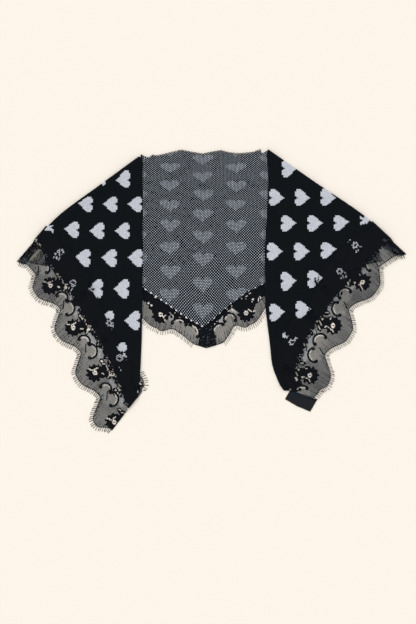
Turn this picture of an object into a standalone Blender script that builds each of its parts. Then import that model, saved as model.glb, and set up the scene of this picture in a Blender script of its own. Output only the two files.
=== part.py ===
"""Triangular knitted shawl with a scalloped eyelash lace edging.

The shawl lies flat on its right side, so its middle shows the wrong side. Both ends are folded
forward over a soft roll and show the right side, with the lace over their lower edges.
The tables are in millimetres, x to the right and y up the cloth, from the middle of the laid shawl.
"""
import math

import bmesh
import bpy
import numpy as np
from mathutils import Vector

MM = 0.001
MIDDLE = (0.0, -4.7)         # middle of the laid outline in the tables' own frame

# Walls and seats
KNIT_WALL = 2.4
LACE_WALL = 1.0
LABEL_WALL = 1.0
GAP = 0.3                    # between pieces that touch
LACE_SEAT = LACE_WALL + GAP  # what lies on a layer of lace starts here
KNIT_SEAT = KNIT_WALL + GAP

# The soft fold of each end
ROLL_RADIUS = 1.6            # inside radius
ROLL_INSET = ROLL_RADIUS + KNIT_WALL
LIP = 12.0                   # how far the fold runs back under itself
WING_DEPTH = 436.0           # from the fold to the tip
PUFF_END = 28.0              # where the top layer has settled on the one below
LACE_ROLL_RADIUS = 0.8       # inside radius where the lace folds by itself
LACE_LOOSE = 1.0             # how loosely the lace goes round the knit's fold
LACE_LIE = 0.5               # and how closely it lies on the knit

# How the knit rises over the lace that is sewn under its lower edge: distances from that edge
RISE_FULL, RISE_END = 78.0, 96.0
WING_RISE_FULL, WING_RISE_END = 96.0, 124.0
EDGE_DROP_START, EDGE_DROP_END = -26.0, -50.0
LACE_DROP_START, LACE_DROP_END = -92.0, -112.0

# The lace steps down past the wing's lower edge
LACE_HOLD, LACE_FALL = 3.0, 16.0
LACE_SLACK = 18.0            # the lace bridges the steps of the cloth below by this much

# Openwork: each valley of the scallops has a pair of scrolls, each peak a rosette.
# A scroll's place is its inset from the valley, its distance along the lace and its turn in degrees.
SCROLL_BEFORE, SCROLL_AFTER = (33.0, -18.0, -25.0), (21.0, 18.0, 40.0)
SCROLL_RADIUS, SCROLL_WIDTH, SCROLL_SWEEP = 9.5, 4.2, 50.0
ROSETTE_INSET, EYE_RADIUS = 36.0, 2.6
ROSETTE_ALONG = {"wing": 15.0, "back": 0.0}

# Eyelashes
LASH_PITCH, LASH_LENGTH, LASH_WIDTH = 8.2, 8.5, 1.0
LASH_STRIP, LASH_THICK, LASH_LIFT = 1.2, 0.6, 0.15
LASH_CLEAR = 8.0             # no eyelashes on the roll of the lace
LASH_GAP = 0.8               # from the scalloped edge, so that straight stretches clear its curves

TOP_EDGE = (  # x, y
    (-141, 308), (-126, 306), (-110, 309), (-91, 314), (-70, 319), (-44, 314), (-20, 310),
    (3, 315), (21, 318), (41, 313), (66, 311), (96, 314), (112, 320),
)
LOWER_EDGE = (  # x, y
    (-401, 114), (-279, 57), (-151, -1), (-105, -32), (-56, -67), (-20, -86),
    (3, -70), (40, -37), (80, -7), (121, 13), (263, 66), (406, 118),
)
APEX = -20
RIPPLE = {"first": -118, "pitch": 94, "count": 2, "lift": 1.6, "depth": 40}

WINGS = {
    "left": {
        "side": -1,
        "fold": ((-158, 313), (-252, 244), (-344, 176), (-401, 118)),
        "inner": ((-158, 313), (-158, 91), (-159, -47), (-161, -132), (-164, -192),
                  (-168, -222), (-178, -252), (-187, -268)),
        "lower": ((-401, 118), (-355, 43), (-305, -36), (-256, -118), (-217, -201),
                  (-200, -240), (-187, -268)),
        "lip_top": (1.0, -0.30),
        "lip_low": (0.906, -0.423),
        "mound": {"at": (-171, -227), "full": 52, "end": 84, "height": LACE_SEAT},
    },
    "right": {
        "side": 1,
        "fold": ((128, 324), (238, 247), (344, 175), (406, 118)),
        "inner": ((128, 324), (130, 231), (127, 162), (123, 95), (123, 3), (124, -43),
                  (134, -124), (139, -170), (149, -201), (160, -224), (176, -243)),
        "lower": ((406, 118), (355, 63), (307, 13), (273, -24), (231, -89), (210, -128),
                  (197, -162), (187, -204), (176, -243)),
        "lip_top": (-1.0, -0.45),
        "lip_low": (-0.940, -0.341),
        "mound": {"at": (204, -247), "full": 44, "end": 74, "height": LABEL_WALL + GAP},
    },
}

# Lace, a row for each turn of its outline: kind, outer x, outer y, inner x, inner y
LACE_WING = {
    "left": (
        ("plain", -448, 65, -378.5, 145.5), ("valley", -401, 36, -336, 115),
        ("peak", -408, 2, -308, 85), ("valley", -347, -46, -275, 33),
        ("peak", -356, -98, -260, -13), ("valley", -301, -147, -229, -63),
        ("peak", -308, -200, -213, -116), ("valley", -257, -250, -181, -164),
        ("peak", -269, -306, -170, -204), ("valley", -231, -323, -175, -246),
    ),
    "right": (
        ("plain", 448, 82, 368.5, 156), ("valley", 385, 52, 320, 124),
        ("peak", 380, 3, 282, 90), ("valley", 317, -46, 246, 28),
        ("peak", 319, -99, 218, -17), ("valley", 262, -152, 189, -80),
        ("peak", 267, -211, 161, -138), ("valley", 246, -236, 152, -187),
        ("plain", 231, -253, 175, -236),
    ),
}
LACE_BACK = {
    "left": (
        ("plain", -419, 61, -348, 139), ("valley", -351, 49, -311, 135),
        ("peak", -321, 6, -270, 117), ("valley", -249, 2, -206, 86),
        ("peak", -220, -40, -169, 70), ("valley", -174, -52, -141, 56),
        ("peak", -125, -89, -82, 22), ("valley", -82, -95, -59, 9),
        ("plain", -49, -119, -36, -3), ("plain", -12.3, -136, -17.3, -15),
    ),
    "right": (
        ("plain", 394, 66, 351, 155), ("valley", 343, 55, 310, 144),
        ("peak", 294, 8, 252, 123), ("valley", 237, 15, 204, 105),
        ("peak", 188, -31, 146, 83), ("valley", 134, -23, 101, 66),
        ("peak", 86, -82, 49, 33), ("valley", 48, -78, 24, 13),
        ("plain", 17, -127, 3, -3), ("plain", -12, -136, -17, -15),
    ),
}
# The scrolls at each valley that shows, by the valley's row
WING_SCROLLS = {
    "left": {1: (SCROLL_AFTER,), 3: (SCROLL_BEFORE, SCROLL_AFTER), 5: (SCROLL_BEFORE, SCROLL_AFTER),
             7: (SCROLL_BEFORE, SCROLL_AFTER)},
    "right": {1: (SCROLL_AFTER,), 3: (SCROLL_BEFORE, SCROLL_AFTER), 5: (SCROLL_BEFORE, SCROLL_AFTER),
              7: (SCROLL_BEFORE,)},
}
BACK_SCROLLS = {"left": {7: ((28, -2, 0), (11, 46, 30))}, "right": {7: ((20, 0, 0), (2, 38, 30))}}
BACK_EYES = (6,)
# Each scallop has its own strip of eyelashes: the rows where it starts and ends
WING_LASHES = {"left": ((0, 1), (1, 3), (3, 5), (5, 7), (7, 9)),
               "right": ((0, 1), (1, 3), (3, 5), (5, 7), (7, 8))}
BACK_LASHES = ((5, 7), (7, 8))

MITRE = ((-27, -84.5), (-18, -88.5), (0, -75.5), (14, -130), (-10, -135.5), (-28, -127))
LACE_END = (
    ("valley", -166, -190, -188, -200), ("peak", -157, -214, -193, -216),
    ("valley", -158, -236, -197, -234), ("plain", -184, -264, -202, -248),
)
LABEL = ((169, -252), (196, -268), (227, -281), (243, -253), (181, -231))

COLOURS = {
    "knit": (0.010, 0.013, 0.016), "lace": (0.012, 0.012, 0.013), "label": (0.008, 0.008, 0.009),
}


def ease(low, high, value):
    """0 at low, 1 at high, with a soft start and end; low may be above high."""
    part = min(max((value - low) / (high - low), 0.0), 1.0)
    return part * part * (3 - 2 * part)


def mix(a, b, part):
    return a + (b - a) * part


def smooth_path(points, count=160):
    """Points spaced evenly along one smooth curve through the table's points."""
    knots = np.array(points, float)
    padded = np.vstack((2 * knots[0] - knots[1], knots, 2 * knots[-1] - knots[-2]))
    dense = []
    for start in range(len(knots) - 1):
        before, a, b, after = padded[start:start + 4]
        for part in np.linspace(0, 1, 12, endpoint=False):
            dense.append(0.5 * (2 * a + (b - before) * part
                                + (2 * before - 5 * a + 4 * b - after) * part ** 2
                                + (3 * a - before - 3 * b + after) * part ** 3))
    dense = np.array(dense + [knots[-1]])
    length = np.concatenate(([0], np.cumsum(np.linalg.norm(np.diff(dense, axis=0), axis=1))))
    even = np.linspace(0, length[-1], count)
    return np.column_stack([np.interp(even, length, dense[:, axis]) for axis in (0, 1)])


def at(path, part):
    """Point of an evenly spaced path at a part of its length."""
    where = np.linspace(0, 1, len(path))
    return np.array([np.interp(part, where, path[:, axis]) for axis in (0, 1)])


def unit(vector):
    return np.asarray(vector, float) / np.linalg.norm(vector)


# Heights of the layers

def edge_distance(x, y):
    """How far a point lies up the cloth from the back's lower edge, below it negative."""
    xs, ys = zip(*LOWER_EDGE)
    return y - np.interp(x, xs, ys)


def back_bottom(x, y):
    """The knit lies on the floor, and on the lace that is sewn under its lower edge."""
    return LACE_SEAT * (1 - ease(RISE_FULL, RISE_END, edge_distance(x, y)))


def lace_floor(x, y, wing, slack=0.0):
    """What lies on the floor, the hidden lace and the piece tucked under the tip."""
    over_lace = LACE_SEAT * ease(LACE_DROP_END - slack, LACE_DROP_START - slack, edge_distance(x, y))
    mound = wing["mound"]
    away = math.dist((x, y), mound["at"])
    return max(over_lace, mound["height"] * (1 - ease(mound["full"] + slack, mound["end"] + slack, away)))


def wing_bottom(x, y, depth, wing, slack=0.0):
    """Underside of the folded end: over the back, down its lower edge and on to the floor."""
    away = edge_distance(x, y)
    over_back = KNIT_SEAT + LACE_SEAT * (1 - ease(WING_RISE_FULL, WING_RISE_END, away - slack))
    floor = lace_floor(x, y, wing, slack)
    settled = mix(floor, max(over_back, floor), ease(EDGE_DROP_END - slack, EDGE_DROP_START - slack, away))
    puff = (2 * ROLL_RADIUS - GAP) * (1 - ease(ROLL_INSET, PUFF_END + slack, depth))
    return settled + puff


# The folded ends in plan

for wing in WINGS.values():
    for edge in ("fold", "inner", "lower"):
        wing[edge] = smooth_path(wing[edge])


def wing_plan(wing, part, across):
    """A point of the folded end: part runs from the fold to the tip, across to the lower edge."""
    straight = mix(wing["fold"][0], wing["fold"][-1], across)
    bow = (at(wing["fold"], across) - straight) * (1 - part) ** 2
    return mix(at(wing["inner"], part), at(wing["lower"], part), across) + bow


def fold_outward(wing, across):
    tangent = unit(at(wing["fold"], min(across + 0.05, 1)) - at(wing["fold"], max(across - 0.05, 0)))
    return np.array((tangent[1], -tangent[0])) * -wing["side"]


def lip_point(wing, across, inset):
    """A point on the layer below the fold, inset from the axis of the roll."""
    axis = wing_plan(wing, ROLL_INSET / WING_DEPTH, across)
    run = unit(mix(np.array(wing["lip_top"]), np.array(wing["lip_low"]), across))
    return axis + run * inset / -np.dot(run, fold_outward(wing, across))


def lace_fold(rows, wing, across):
    """The lace's fold line: a point from its inner to its outer edge, the way out of the fold,
    and how far the point lies past the knit's corner, as a part from 0 on the knit to 1 on the floor."""
    outer, inner = np.array(rows[0][1:3]), np.array(rows[0][3:5])
    point = mix(inner, outer, across)
    along = unit(outer - inner)
    outward = np.array((along[1], -along[0])) * -wing["side"]
    past = np.dot(point - wing["fold"][-1], along)
    return point, outward, ease(LACE_HOLD, LACE_FALL, past)


def lace_axis(rows, wing, across):
    point, outward, bare = lace_fold(rows, wing, across)
    return point - outward * mix(ROLL_INSET, LACE_ROLL_RADIUS + LACE_WALL, bare)


def lace_lip(rows, wing, across, inset):
    """A point on the lace below its fold, inset from the axis of its roll."""
    outward = lace_fold(rows, wing, across)[1]
    run = unit(np.array(wing["lip_low"]))
    return lace_axis(rows, wing, across) + run * inset / -np.dot(run, outward)


# Scallops

def strip_stations(rows, steps):
    """Outer and inner points along a lace, each half scallop rounded from valley to peak."""
    stations = []
    for first, second in zip(rows, rows[1:]):
        rounded = {"valley", "peak"} == {first[0], second[0]}
        peak, valley = (first, second) if first[0] == "peak" else (second, first)
        out = unit(np.array(peak[1:3]) - np.array(peak[3:5]))
        rise = np.dot(np.array(peak[1:3]) - np.array(valley[1:3]), out) if rounded else 0
        for part in np.linspace(0, 1, steps, endpoint=False):
            outer = mix(np.array(first[1:3], float), np.array(second[1:3]), part)
            inner = mix(np.array(first[3:5], float), np.array(second[3:5]), part)
            up = part if peak is second else 1 - part
            stations.append((outer + out * rise * (math.sin(up * math.pi / 2) - up), inner))
    stations.append((np.array(rows[-1][1:3], float), np.array(rows[-1][3:5], float)))
    return stations


def lace_frame(rows, row):
    """A row's outer point, the way in from it, and the way along the lace at right angles."""
    outer, inner = np.array(rows[row][1:3], float), np.array(rows[row][3:5], float)
    inward = unit(inner - outer)
    along = np.array((inward[1], -inward[0]))
    onward = np.array(rows[row + 1][3:5], float) - np.array(rows[row - 1][3:5], float)
    return outer, inward, along if np.dot(along, onward) > 0 else -along


def arc(centre, radius, angles):
    return [centre + np.array((math.cos(angle), math.sin(angle))) * radius for angle in angles]


def openwork(rows, scrolls, eyes, eye_along):
    """Closed outlines: a curved slot inside each scroll and each rosette's eye."""
    outlines = []
    for row, places in scrolls.items():
        outer, inward, along = lace_frame(rows, row)
        for inset, shift, turn in places:
            centre = outer + inward * inset + along * shift
            facing = inward * math.cos(math.radians(turn)) + along * math.sin(math.radians(turn))
            heading = math.atan2(facing[1], facing[0])
            sweep = np.radians(np.linspace(-SCROLL_SWEEP, SCROLL_SWEEP, 5)) + heading
            outlines.append(arc(centre, SCROLL_RADIUS + SCROLL_WIDTH / 2, sweep)
                            + arc(centre, SCROLL_RADIUS - SCROLL_WIDTH / 2, sweep[::-1]))
    for row in eyes:
        outer, inward, along = lace_frame(rows, row)
        centre = outer + inward * ROSETTE_INSET + along * eye_along
        outlines.append(arc(centre, EYE_RADIUS, np.linspace(0, 2 * math.pi, 6, endpoint=False)))
    return outlines


# Making the pieces

def clear_scene():
    for old in list(bpy.data.objects):
        bpy.data.objects.remove(old, do_unlink=True)


def new_collection(name):
    collection = bpy.data.collections.new(name)
    bpy.context.scene.collection.children.link(collection)
    return collection


def material(name, colour, roughness):
    made = bpy.data.materials.new(name)
    made.use_nodes = True
    shader = made.node_tree.nodes["Principled BSDF"]
    shader.inputs["Base Color"].default_value = (*colour, 1)
    shader.inputs["Roughness"].default_value = roughness
    shader.inputs["Metallic"].default_value = 0
    return made


def to_world(x, y, z):
    return Vector(((x - MIDDLE[0]) * MM, (y - MIDDLE[1]) * MM, z * MM))


def sheet(name, rows, columns, place, wall, look, collection):
    """A grid laid out by place(row, column), in millimetres, and thickened away from it."""
    net = bmesh.new()
    bmesh.ops.create_grid(net, x_segments=columns, y_segments=rows, size=1)
    for vert in net.verts:
        column = round((vert.co.x + 1) / 2 * columns)
        row = round((vert.co.y + 1) / 2 * rows)
        vert.co = to_world(*place(row, column))
    mesh = bpy.data.meshes.new(name)
    net.to_mesh(mesh)
    net.free()
    piece = bpy.data.objects.new(name, mesh)
    collection.objects.link(piece)
    mesh.materials.append(look)
    thicken = piece.modifiers.new("wall", "SOLIDIFY")
    thicken.thickness = wall * MM
    thicken.offset = 1
    thicken.use_even_offset = True
    mesh.shade_smooth()
    return piece


def turn_over(piece):
    piece.data.flip_normals()
    return piece


def flat_piece(name, outlines, bottom, top, look, collection):
    """A flat outline with its holes, filled and given its thickness."""
    drawn = bpy.data.curves.new(name, "CURVE")
    drawn.dimensions = "2D"
    drawn.fill_mode = "BOTH"
    drawn.extrude = (top - bottom) / 2 * MM
    for outline in outlines:
        spline = drawn.splines.new("POLY")
        spline.points.add(len(outline) - 1)
        for point, (x, y) in zip(spline.points, outline):
            point.co = (*to_world(x, y, 0), 1)
        spline.use_cyclic_u = True
    shape = bpy.data.objects.new(name + "_outline", drawn)
    collection.objects.link(shape)
    shape.location.z = (top + bottom) / 2 * MM
    bpy.context.view_layer.update()
    mesh = bpy.data.meshes.new_from_object(shape.evaluated_get(bpy.context.evaluated_depsgraph_get()))
    mesh.name = name
    piece = bpy.data.objects.new(name, mesh)
    piece.matrix_world = shape.matrix_world.copy()
    collection.objects.link(piece)
    bpy.data.objects.remove(shape, do_unlink=True)
    weld = bmesh.new()
    weld.from_mesh(mesh)
    bmesh.ops.remove_doubles(weld, verts=weld.verts, dist=0.00001)
    bmesh.ops.recalc_face_normals(weld, faces=weld.faces)
    weld.to_mesh(mesh)
    weld.free()
    mesh.materials.clear()
    mesh.materials.append(look)
    return piece


def cut(piece, cutter):
    cutter.hide_render = True
    cutter.display_type = "WIRE"
    openwork = piece.modifiers.new("openwork", "BOOLEAN")
    openwork.operation = "DIFFERENCE"
    openwork.solver = "EXACT"
    openwork.object = cutter


# Knit

def knit_back(look, collection):
    """The middle of the shawl and all that lies under the folded ends."""
    inset = {side: np.array([lip_point(wing, part, LIP + GAP) for part in np.linspace(0, 1, 40)])
             for side, wing in WINGS.items()}
    left, right = inset["left"][::-1], inset["right"]
    xs = np.concatenate((
        np.linspace(left[0][0] + 6, left[-1][0], 11)[:-1], np.linspace(left[-1][0], APEX, 11)[:-1],
        np.linspace(APEX, right[0][0], 11)[:-1], np.linspace(right[0][0], right[-1][0] - 6, 11)))
    upper = np.vstack((left, TOP_EDGE, right))
    lower_xs, lower_ys = zip(*LOWER_EDGE)
    near_edge = (0, 30, RISE_FULL, RISE_END)
    rows = 9

    def place(row, column):
        x = xs[column]
        low = np.interp(x, lower_xs, lower_ys)
        height = np.interp(x, upper[:, 0], upper[:, 1]) - low
        steps = [min(step, height * count / rows) for count, step in enumerate(near_edge)]
        last = len(near_edge) - 1
        up = steps[row] if row <= last else mix(steps[last], height, (row - last) / (rows - last))
        wave = (x - RIPPLE["first"]) / RIPPLE["pitch"]
        crest = 0.5 - 0.5 * math.cos(2 * math.pi * wave) if 0 < wave < RIPPLE["count"] else 0
        lift = RIPPLE["lift"] * crest * ease(height - RIPPLE["depth"], height, up)
        return x, low + up, back_bottom(x, low + up) + lift

    return sheet("knit_back", rows, len(xs) - 1, place, KNIT_WALL, look, collection)


def knit_wing(side, look, collection):
    """An end of the shawl: the layer below the fold, the roll, and the top layer to the tip."""
    wing = WINGS[side]
    turns = np.radians((-90, -54, -18, 18, 54))
    parts = [ROLL_INSET / WING_DEPTH, 12 / WING_DEPTH, PUFF_END / WING_DEPTH]
    parts += list(np.linspace(PUFF_END / WING_DEPTH, 0.975, 15)[1:])
    columns = 16

    def place(row, column):
        across = column / columns
        if row == 0:
            x, y = lip_point(wing, across, LIP)
            return x, y, back_bottom(x, y) + KNIT_WALL
        x, y = wing_plan(wing, parts[max(row - 1 - len(turns), 0)], across)
        depth = parts[max(row - 1 - len(turns), 0)] * WING_DEPTH
        top = wing_bottom(x, y, depth, wing)
        if row > len(turns):
            return x, y, top
        low = back_bottom(x, y) + KNIT_WALL
        turn = turns[row - 1]
        x, y = np.array((x, y)) + fold_outward(wing, across) * ROLL_RADIUS * math.cos(turn)
        return x, y, mix(low, top, 0.5 + 0.5 * math.sin(turn))

    piece = sheet("knit_wing_" + side, len(turns) + len(parts), columns, place, KNIT_WALL, look, collection)
    return turn_over(piece) if side == "right" else piece


# Lace

def past_edge(point, wing):
    """How far a point lies outside the wing's lower edge, on the knit negative."""
    away = np.linalg.norm(wing["lower"] - point, axis=1)
    near = int(np.argmin(away))
    low, high = max(near - 1, 0), min(near + 1, len(wing["lower"]) - 1)
    run = unit(wing["lower"][high] - wing["lower"][low])
    out = np.array((run[1], -run[0])) * -wing["side"]
    return float(np.dot(point - wing["lower"][near], out))


def lace_height(point, wing):
    """Underside of the lace: on the knit, then down past its lower edge to the floor."""
    x, y = point
    fold = wing["fold"]
    run = unit(fold[-1] - fold[-30])
    inward = np.array((run[1], -run[0])) * wing["side"]
    depth = float(np.dot(point - fold[-1], inward))
    bare = ease(LACE_HOLD, LACE_FALL, past_edge(point, wing))
    on_knit = wing_bottom(x, y, depth, wing, LACE_SLACK) + KNIT_WALL + LACE_LIE
    puff = (2 * LACE_ROLL_RADIUS - GAP) * (1 - ease(LACE_ROLL_RADIUS, PUFF_END, depth))
    on_floor = lace_floor(x, y, wing, LACE_SLACK) + puff
    return mix(on_knit, on_floor, bare)


def lace_wing(side, look, collection, cutters):
    """The lace on an end of the shawl, from under its fold, over the roll and down to the tip."""
    wing, rows = WINGS[side], LACE_WING[side]
    turns = np.radians((-90, -54, -18, 18, 54))
    stations = strip_stations(rows, 3)
    stations[0] = (lace_axis(rows, wing, 1), lace_axis(rows, wing, 0))
    before = 1 + len(turns)
    columns = 7

    def across_parts(outer, inner):
        """Where the mesh lines lie from the inner to the outer edge, close at the knit's edge."""
        width = float(np.linalg.norm(outer - inner))
        samples = np.linspace(0, 1, 60)
        beyond = [past_edge(mix(inner, outer, part), wing) for part in samples]
        edge = min(max(float(np.interp(0, beyond, samples)), 0.2), 0.72)
        hold, fall = edge + LACE_HOLD / width, edge + LACE_FALL / width
        return (0, edge / 2, edge - LACE_HOLD / width, hold, mix(hold, fall, 0.5), fall,
                mix(fall, 1, 0.5), 1)

    fold_parts = across_parts(*stations[0])

    def place(row, column):
        if row >= before:
            outer, inner = stations[row - before]
            point = mix(inner, outer, across_parts(outer, inner)[column])
            return *point, lace_height(point, wing)
        across = fold_parts[column]
        if row == 0:
            return *lace_lip(rows, wing, across, LIP), LACE_WALL
        axis = lace_axis(rows, wing, across)
        _, outward, bare = lace_fold(rows, wing, across)
        radius = mix(ROLL_INSET + LACE_LOOSE, LACE_ROLL_RADIUS, bare)
        turn = turns[row - 1]
        x, y = axis + outward * radius * math.cos(turn)
        return x, y, mix(LACE_WALL, lace_height(axis, wing), 0.5 + 0.5 * math.sin(turn))

    piece = sheet("lace_wing_" + side, before + len(stations) - 1, columns, place, LACE_WALL, look,
                  collection)
    if side == "right":
        turn_over(piece)
    peaks = [row for row, values in enumerate(rows) if values[0] == "peak"]
    openings = openwork(rows, WING_SCROLLS[side], peaks, ROSETTE_ALONG["wing"])
    cut(piece, flat_piece("openwork_" + side, openings, -2, 12, look, cutters))
    return piece


def lace_back(side, look, collection):
    """The lace under the back's lower edge, flat on the floor, from the point to the fold."""
    wing, rows = WINGS[side], LACE_BACK[side]
    stations = strip_stations(rows, 4)
    folded = LACE_WING[side]
    start = [lace_lip(folded, wing, part, LIP + GAP) for part in np.linspace(0, 1, 12)]
    outer = [station[0] for station in stations]
    inner = [station[1] for station in stations[::4]]
    openings = openwork(rows, BACK_SCROLLS[side], BACK_EYES, ROSETTE_ALONG["back"])
    outline = start + outer + inner[::-1]
    return flat_piece("lace_back_" + side, [outline] + openings, 0, LACE_WALL, look, collection)


def lashes(name, stations, height, look, collection, clear=0.0):
    """A narrow strip just off the lace's edge with an eyelash every few millimetres.
    height(point) is the lace's underside, and clear the stretch at the start that stays free,
    where the lace folds."""
    path = np.array([outer for outer, _ in stations])
    ways = np.array([unit(outer - inner) for outer, inner in stations])
    length = np.concatenate(([0], np.cumsum(np.linalg.norm(np.diff(path, axis=0), axis=1))))
    count = int(length[-1] / LASH_PITCH)
    middles = clear + (np.arange(count) + 0.5) * (length[-1] - clear) / count
    stops = np.sort(np.concatenate((middles - LASH_WIDTH / 2, middles + LASH_WIDTH / 2)))

    def on_path(distance):
        return np.array([np.interp(distance, length, path[:, axis]) for axis in (0, 1)])

    def normal(distance):
        run = on_path(distance + 3) - on_path(distance - 3)
        out = np.array((run[1], -run[0]))
        away = [np.interp(distance, length, ways[:, axis]) for axis in (0, 1)]
        out = out if np.dot(out, away) > 0 else -out
        return unit(unit(out) + unit(away))

    def place(row, column):
        distance = stops[column]
        point = on_path(distance) + normal(distance) * (LASH_GAP + LASH_STRIP * row)
        return *point, height(on_path(distance)) + LASH_LIFT

    strip = sheet(name, 1, len(stops) - 1, place, LASH_THICK, look, collection)
    if strip.data.polygons[0].normal.z < 0:
        turn_over(strip)
    bpy.context.view_layer.update()
    solid = bpy.data.meshes.new_from_object(strip.evaluated_get(bpy.context.evaluated_depsgraph_get()))
    strip.modifiers.clear()
    strip.data = solid
    shape = bmesh.new()
    shape.from_mesh(solid)
    for distance in middles:
        out = normal(distance)
        root = on_path(distance) + out * (LASH_GAP + LASH_STRIP)
        level = height(on_path(distance)) + LASH_LIFT + LASH_THICK / 2
        start = to_world(*root, level)
        face = min(shape.faces, key=lambda face: (face.calc_center_median() - start).length)
        tip = bmesh.ops.poke(shape, faces=[face])["verts"][0]
        tip.co = to_world(*(root + out * LASH_LENGTH), level - LASH_THICK / 4)
    bmesh.ops.triangulate(shape, faces=shape.faces)
    shape.to_mesh(solid)
    shape.free()
    return strip


def main():
    clear_scene()
    shawl = new_collection("lace_shawl")
    cutters = new_collection("cutters")
    knit = material("jacquard_knit", COLOURS["knit"], 0.9)
    lace = material("chantilly_lace", COLOURS["lace"], 0.8)
    woven = material("woven_label", COLOURS["label"], 0.6)

    knit_back(knit, shawl)
    for side in WINGS:
        knit_wing(side, knit, shawl)
        lace_wing(side, lace, shawl, cutters)
        lace_back(side, lace, shawl)

        for count, (first, last) in enumerate(WING_LASHES[side], 1):
            lashes(f"lash_wing_{side}_{count}", strip_stations(LACE_WING[side][first:last + 1], 8),
                   lambda point, wing=WINGS[side]: lace_height(point, wing), lace, shawl,
                   LASH_CLEAR if first == 0 else 0)
        for count, (first, last) in enumerate(BACK_LASHES, 1):
            lashes(f"lash_back_{side}_{count}", strip_stations(LACE_BACK[side][first:last + 1], 8),
                   lambda point: 0.0, lace, shawl)

    flat_piece("lace_mitre", [MITRE], LACE_SEAT, LACE_SEAT + LACE_WALL, lace, shawl)
    stations = strip_stations(LACE_END, 3)
    outline = [outer for outer, _ in stations] + [inner for _, inner in stations[::-3]]
    flat_piece("lace_end_left", [outline], 0, LACE_WALL, lace, shawl)
    lashes("lash_end_left", stations, lambda point: 0.0, lace, shawl)
    flat_piece("label", [LABEL], 0, LABEL_WALL, woven, shawl)


main()
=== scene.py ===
# Lace shawl: a triangular jacquard knit with a scalloped eyelash lace edging.
# It lies flat, wrong side up, with both ends folded forward over a soft roll.
# The tables are in millimetres, x to the right and y up the cloth, from a point near its middle.
import math
from functools import partial

import bmesh
import bpy
import numpy as np
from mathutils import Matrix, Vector


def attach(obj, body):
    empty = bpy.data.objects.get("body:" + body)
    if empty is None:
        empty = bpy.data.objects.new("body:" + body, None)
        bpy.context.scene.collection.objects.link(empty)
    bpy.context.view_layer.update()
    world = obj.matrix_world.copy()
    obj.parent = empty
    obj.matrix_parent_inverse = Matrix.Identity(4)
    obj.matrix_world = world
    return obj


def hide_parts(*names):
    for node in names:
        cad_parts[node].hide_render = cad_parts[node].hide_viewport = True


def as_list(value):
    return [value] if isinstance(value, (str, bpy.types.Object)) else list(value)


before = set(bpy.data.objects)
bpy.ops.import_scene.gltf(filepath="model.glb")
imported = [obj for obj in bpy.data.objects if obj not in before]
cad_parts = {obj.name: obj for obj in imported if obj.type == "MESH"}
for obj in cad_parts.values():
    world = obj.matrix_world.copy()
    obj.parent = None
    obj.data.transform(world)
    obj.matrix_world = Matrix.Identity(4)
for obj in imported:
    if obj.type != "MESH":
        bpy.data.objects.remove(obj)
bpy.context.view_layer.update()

mm = 0.001
middle = np.array((0.0, -4.7))     # where the middle of the laid outline is in the tables
chance = np.random.default_rng(8)

walls = {"knit": 2.4, "lace": 1.0, "label": 1.0, "gap": 0.3}
laceSeat = walls["lace"] + walls["gap"]
knitSeat = walls["knit"] + walls["gap"]

# The soft folds, and how each layer rises and falls over the ones below
fold = {"radius": 1.6, "inset": 4.0, "lip": 12.0, "depth": 436.0, "puffEnd": 28.0,
        "laceRadius": 0.8, "laceLoose": 1.0, "laceLie": 0.5, "laceUnder": 6.0}
layers = {"rise": (78, 96), "wingRise": (96, 124), "edgeDrop": (-26, -50), "laceDrop": (-92, -112),
          "laceFall": (3, 16), "slack": 18.0}

topEdge = (
    (-141, 308), (-126, 306), (-110, 309), (-91, 314), (-70, 319), (-44, 314), (-20, 310),
    (3, 315), (21, 318), (41, 313), (66, 311), (96, 314), (112, 320),
)
lowerEdge = (
    (-401, 114), (-279, 57), (-151, -1), (-105, -32), (-56, -67), (-20, -86),
    (3, -70), (40, -37), (80, -7), (121, 13), (263, 66), (406, 118),
)
apexX = -20
ripple = {"first": -118, "pitch": 94, "count": 2, "lift": 1.6, "depth": 40}

wings = {
    "left": {
        "side": -1,
        "fold": ((-158, 313), (-252, 244), (-344, 176), (-401, 118)),
        "inner": ((-158, 313), (-158, 91), (-159, -47), (-161, -132), (-164, -192),
                  (-168, -222), (-178, -252), (-187, -268)),
        "lower": ((-401, 118), (-355, 43), (-305, -36), (-256, -118), (-217, -201),
                  (-200, -240), (-187, -268)),
        "lipTop": (1.0, -0.30), "lipLow": (0.906, -0.423),
        "mound": {"at": (-171, -227), "full": 52, "end": 84, "height": laceSeat},
    },
    "right": {
        "side": 1,
        "fold": ((128, 324), (238, 247), (344, 175), (406, 118)),
        "inner": ((128, 324), (130, 231), (127, 162), (123, 95), (123, 3), (124, -43),
                  (134, -124), (139, -170), (149, -201), (160, -224), (176, -243)),
        "lower": ((406, 118), (355, 63), (307, 13), (273, -24), (231, -89), (210, -128),
                  (197, -162), (187, -204), (176, -243)),
        "lipTop": (-1.0, -0.45), "lipLow": (-0.940, -0.341),
        "mound": {"at": (204, -247), "full": 44, "end": 74, "height": walls["label"] + walls["gap"]},
    },
}

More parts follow.
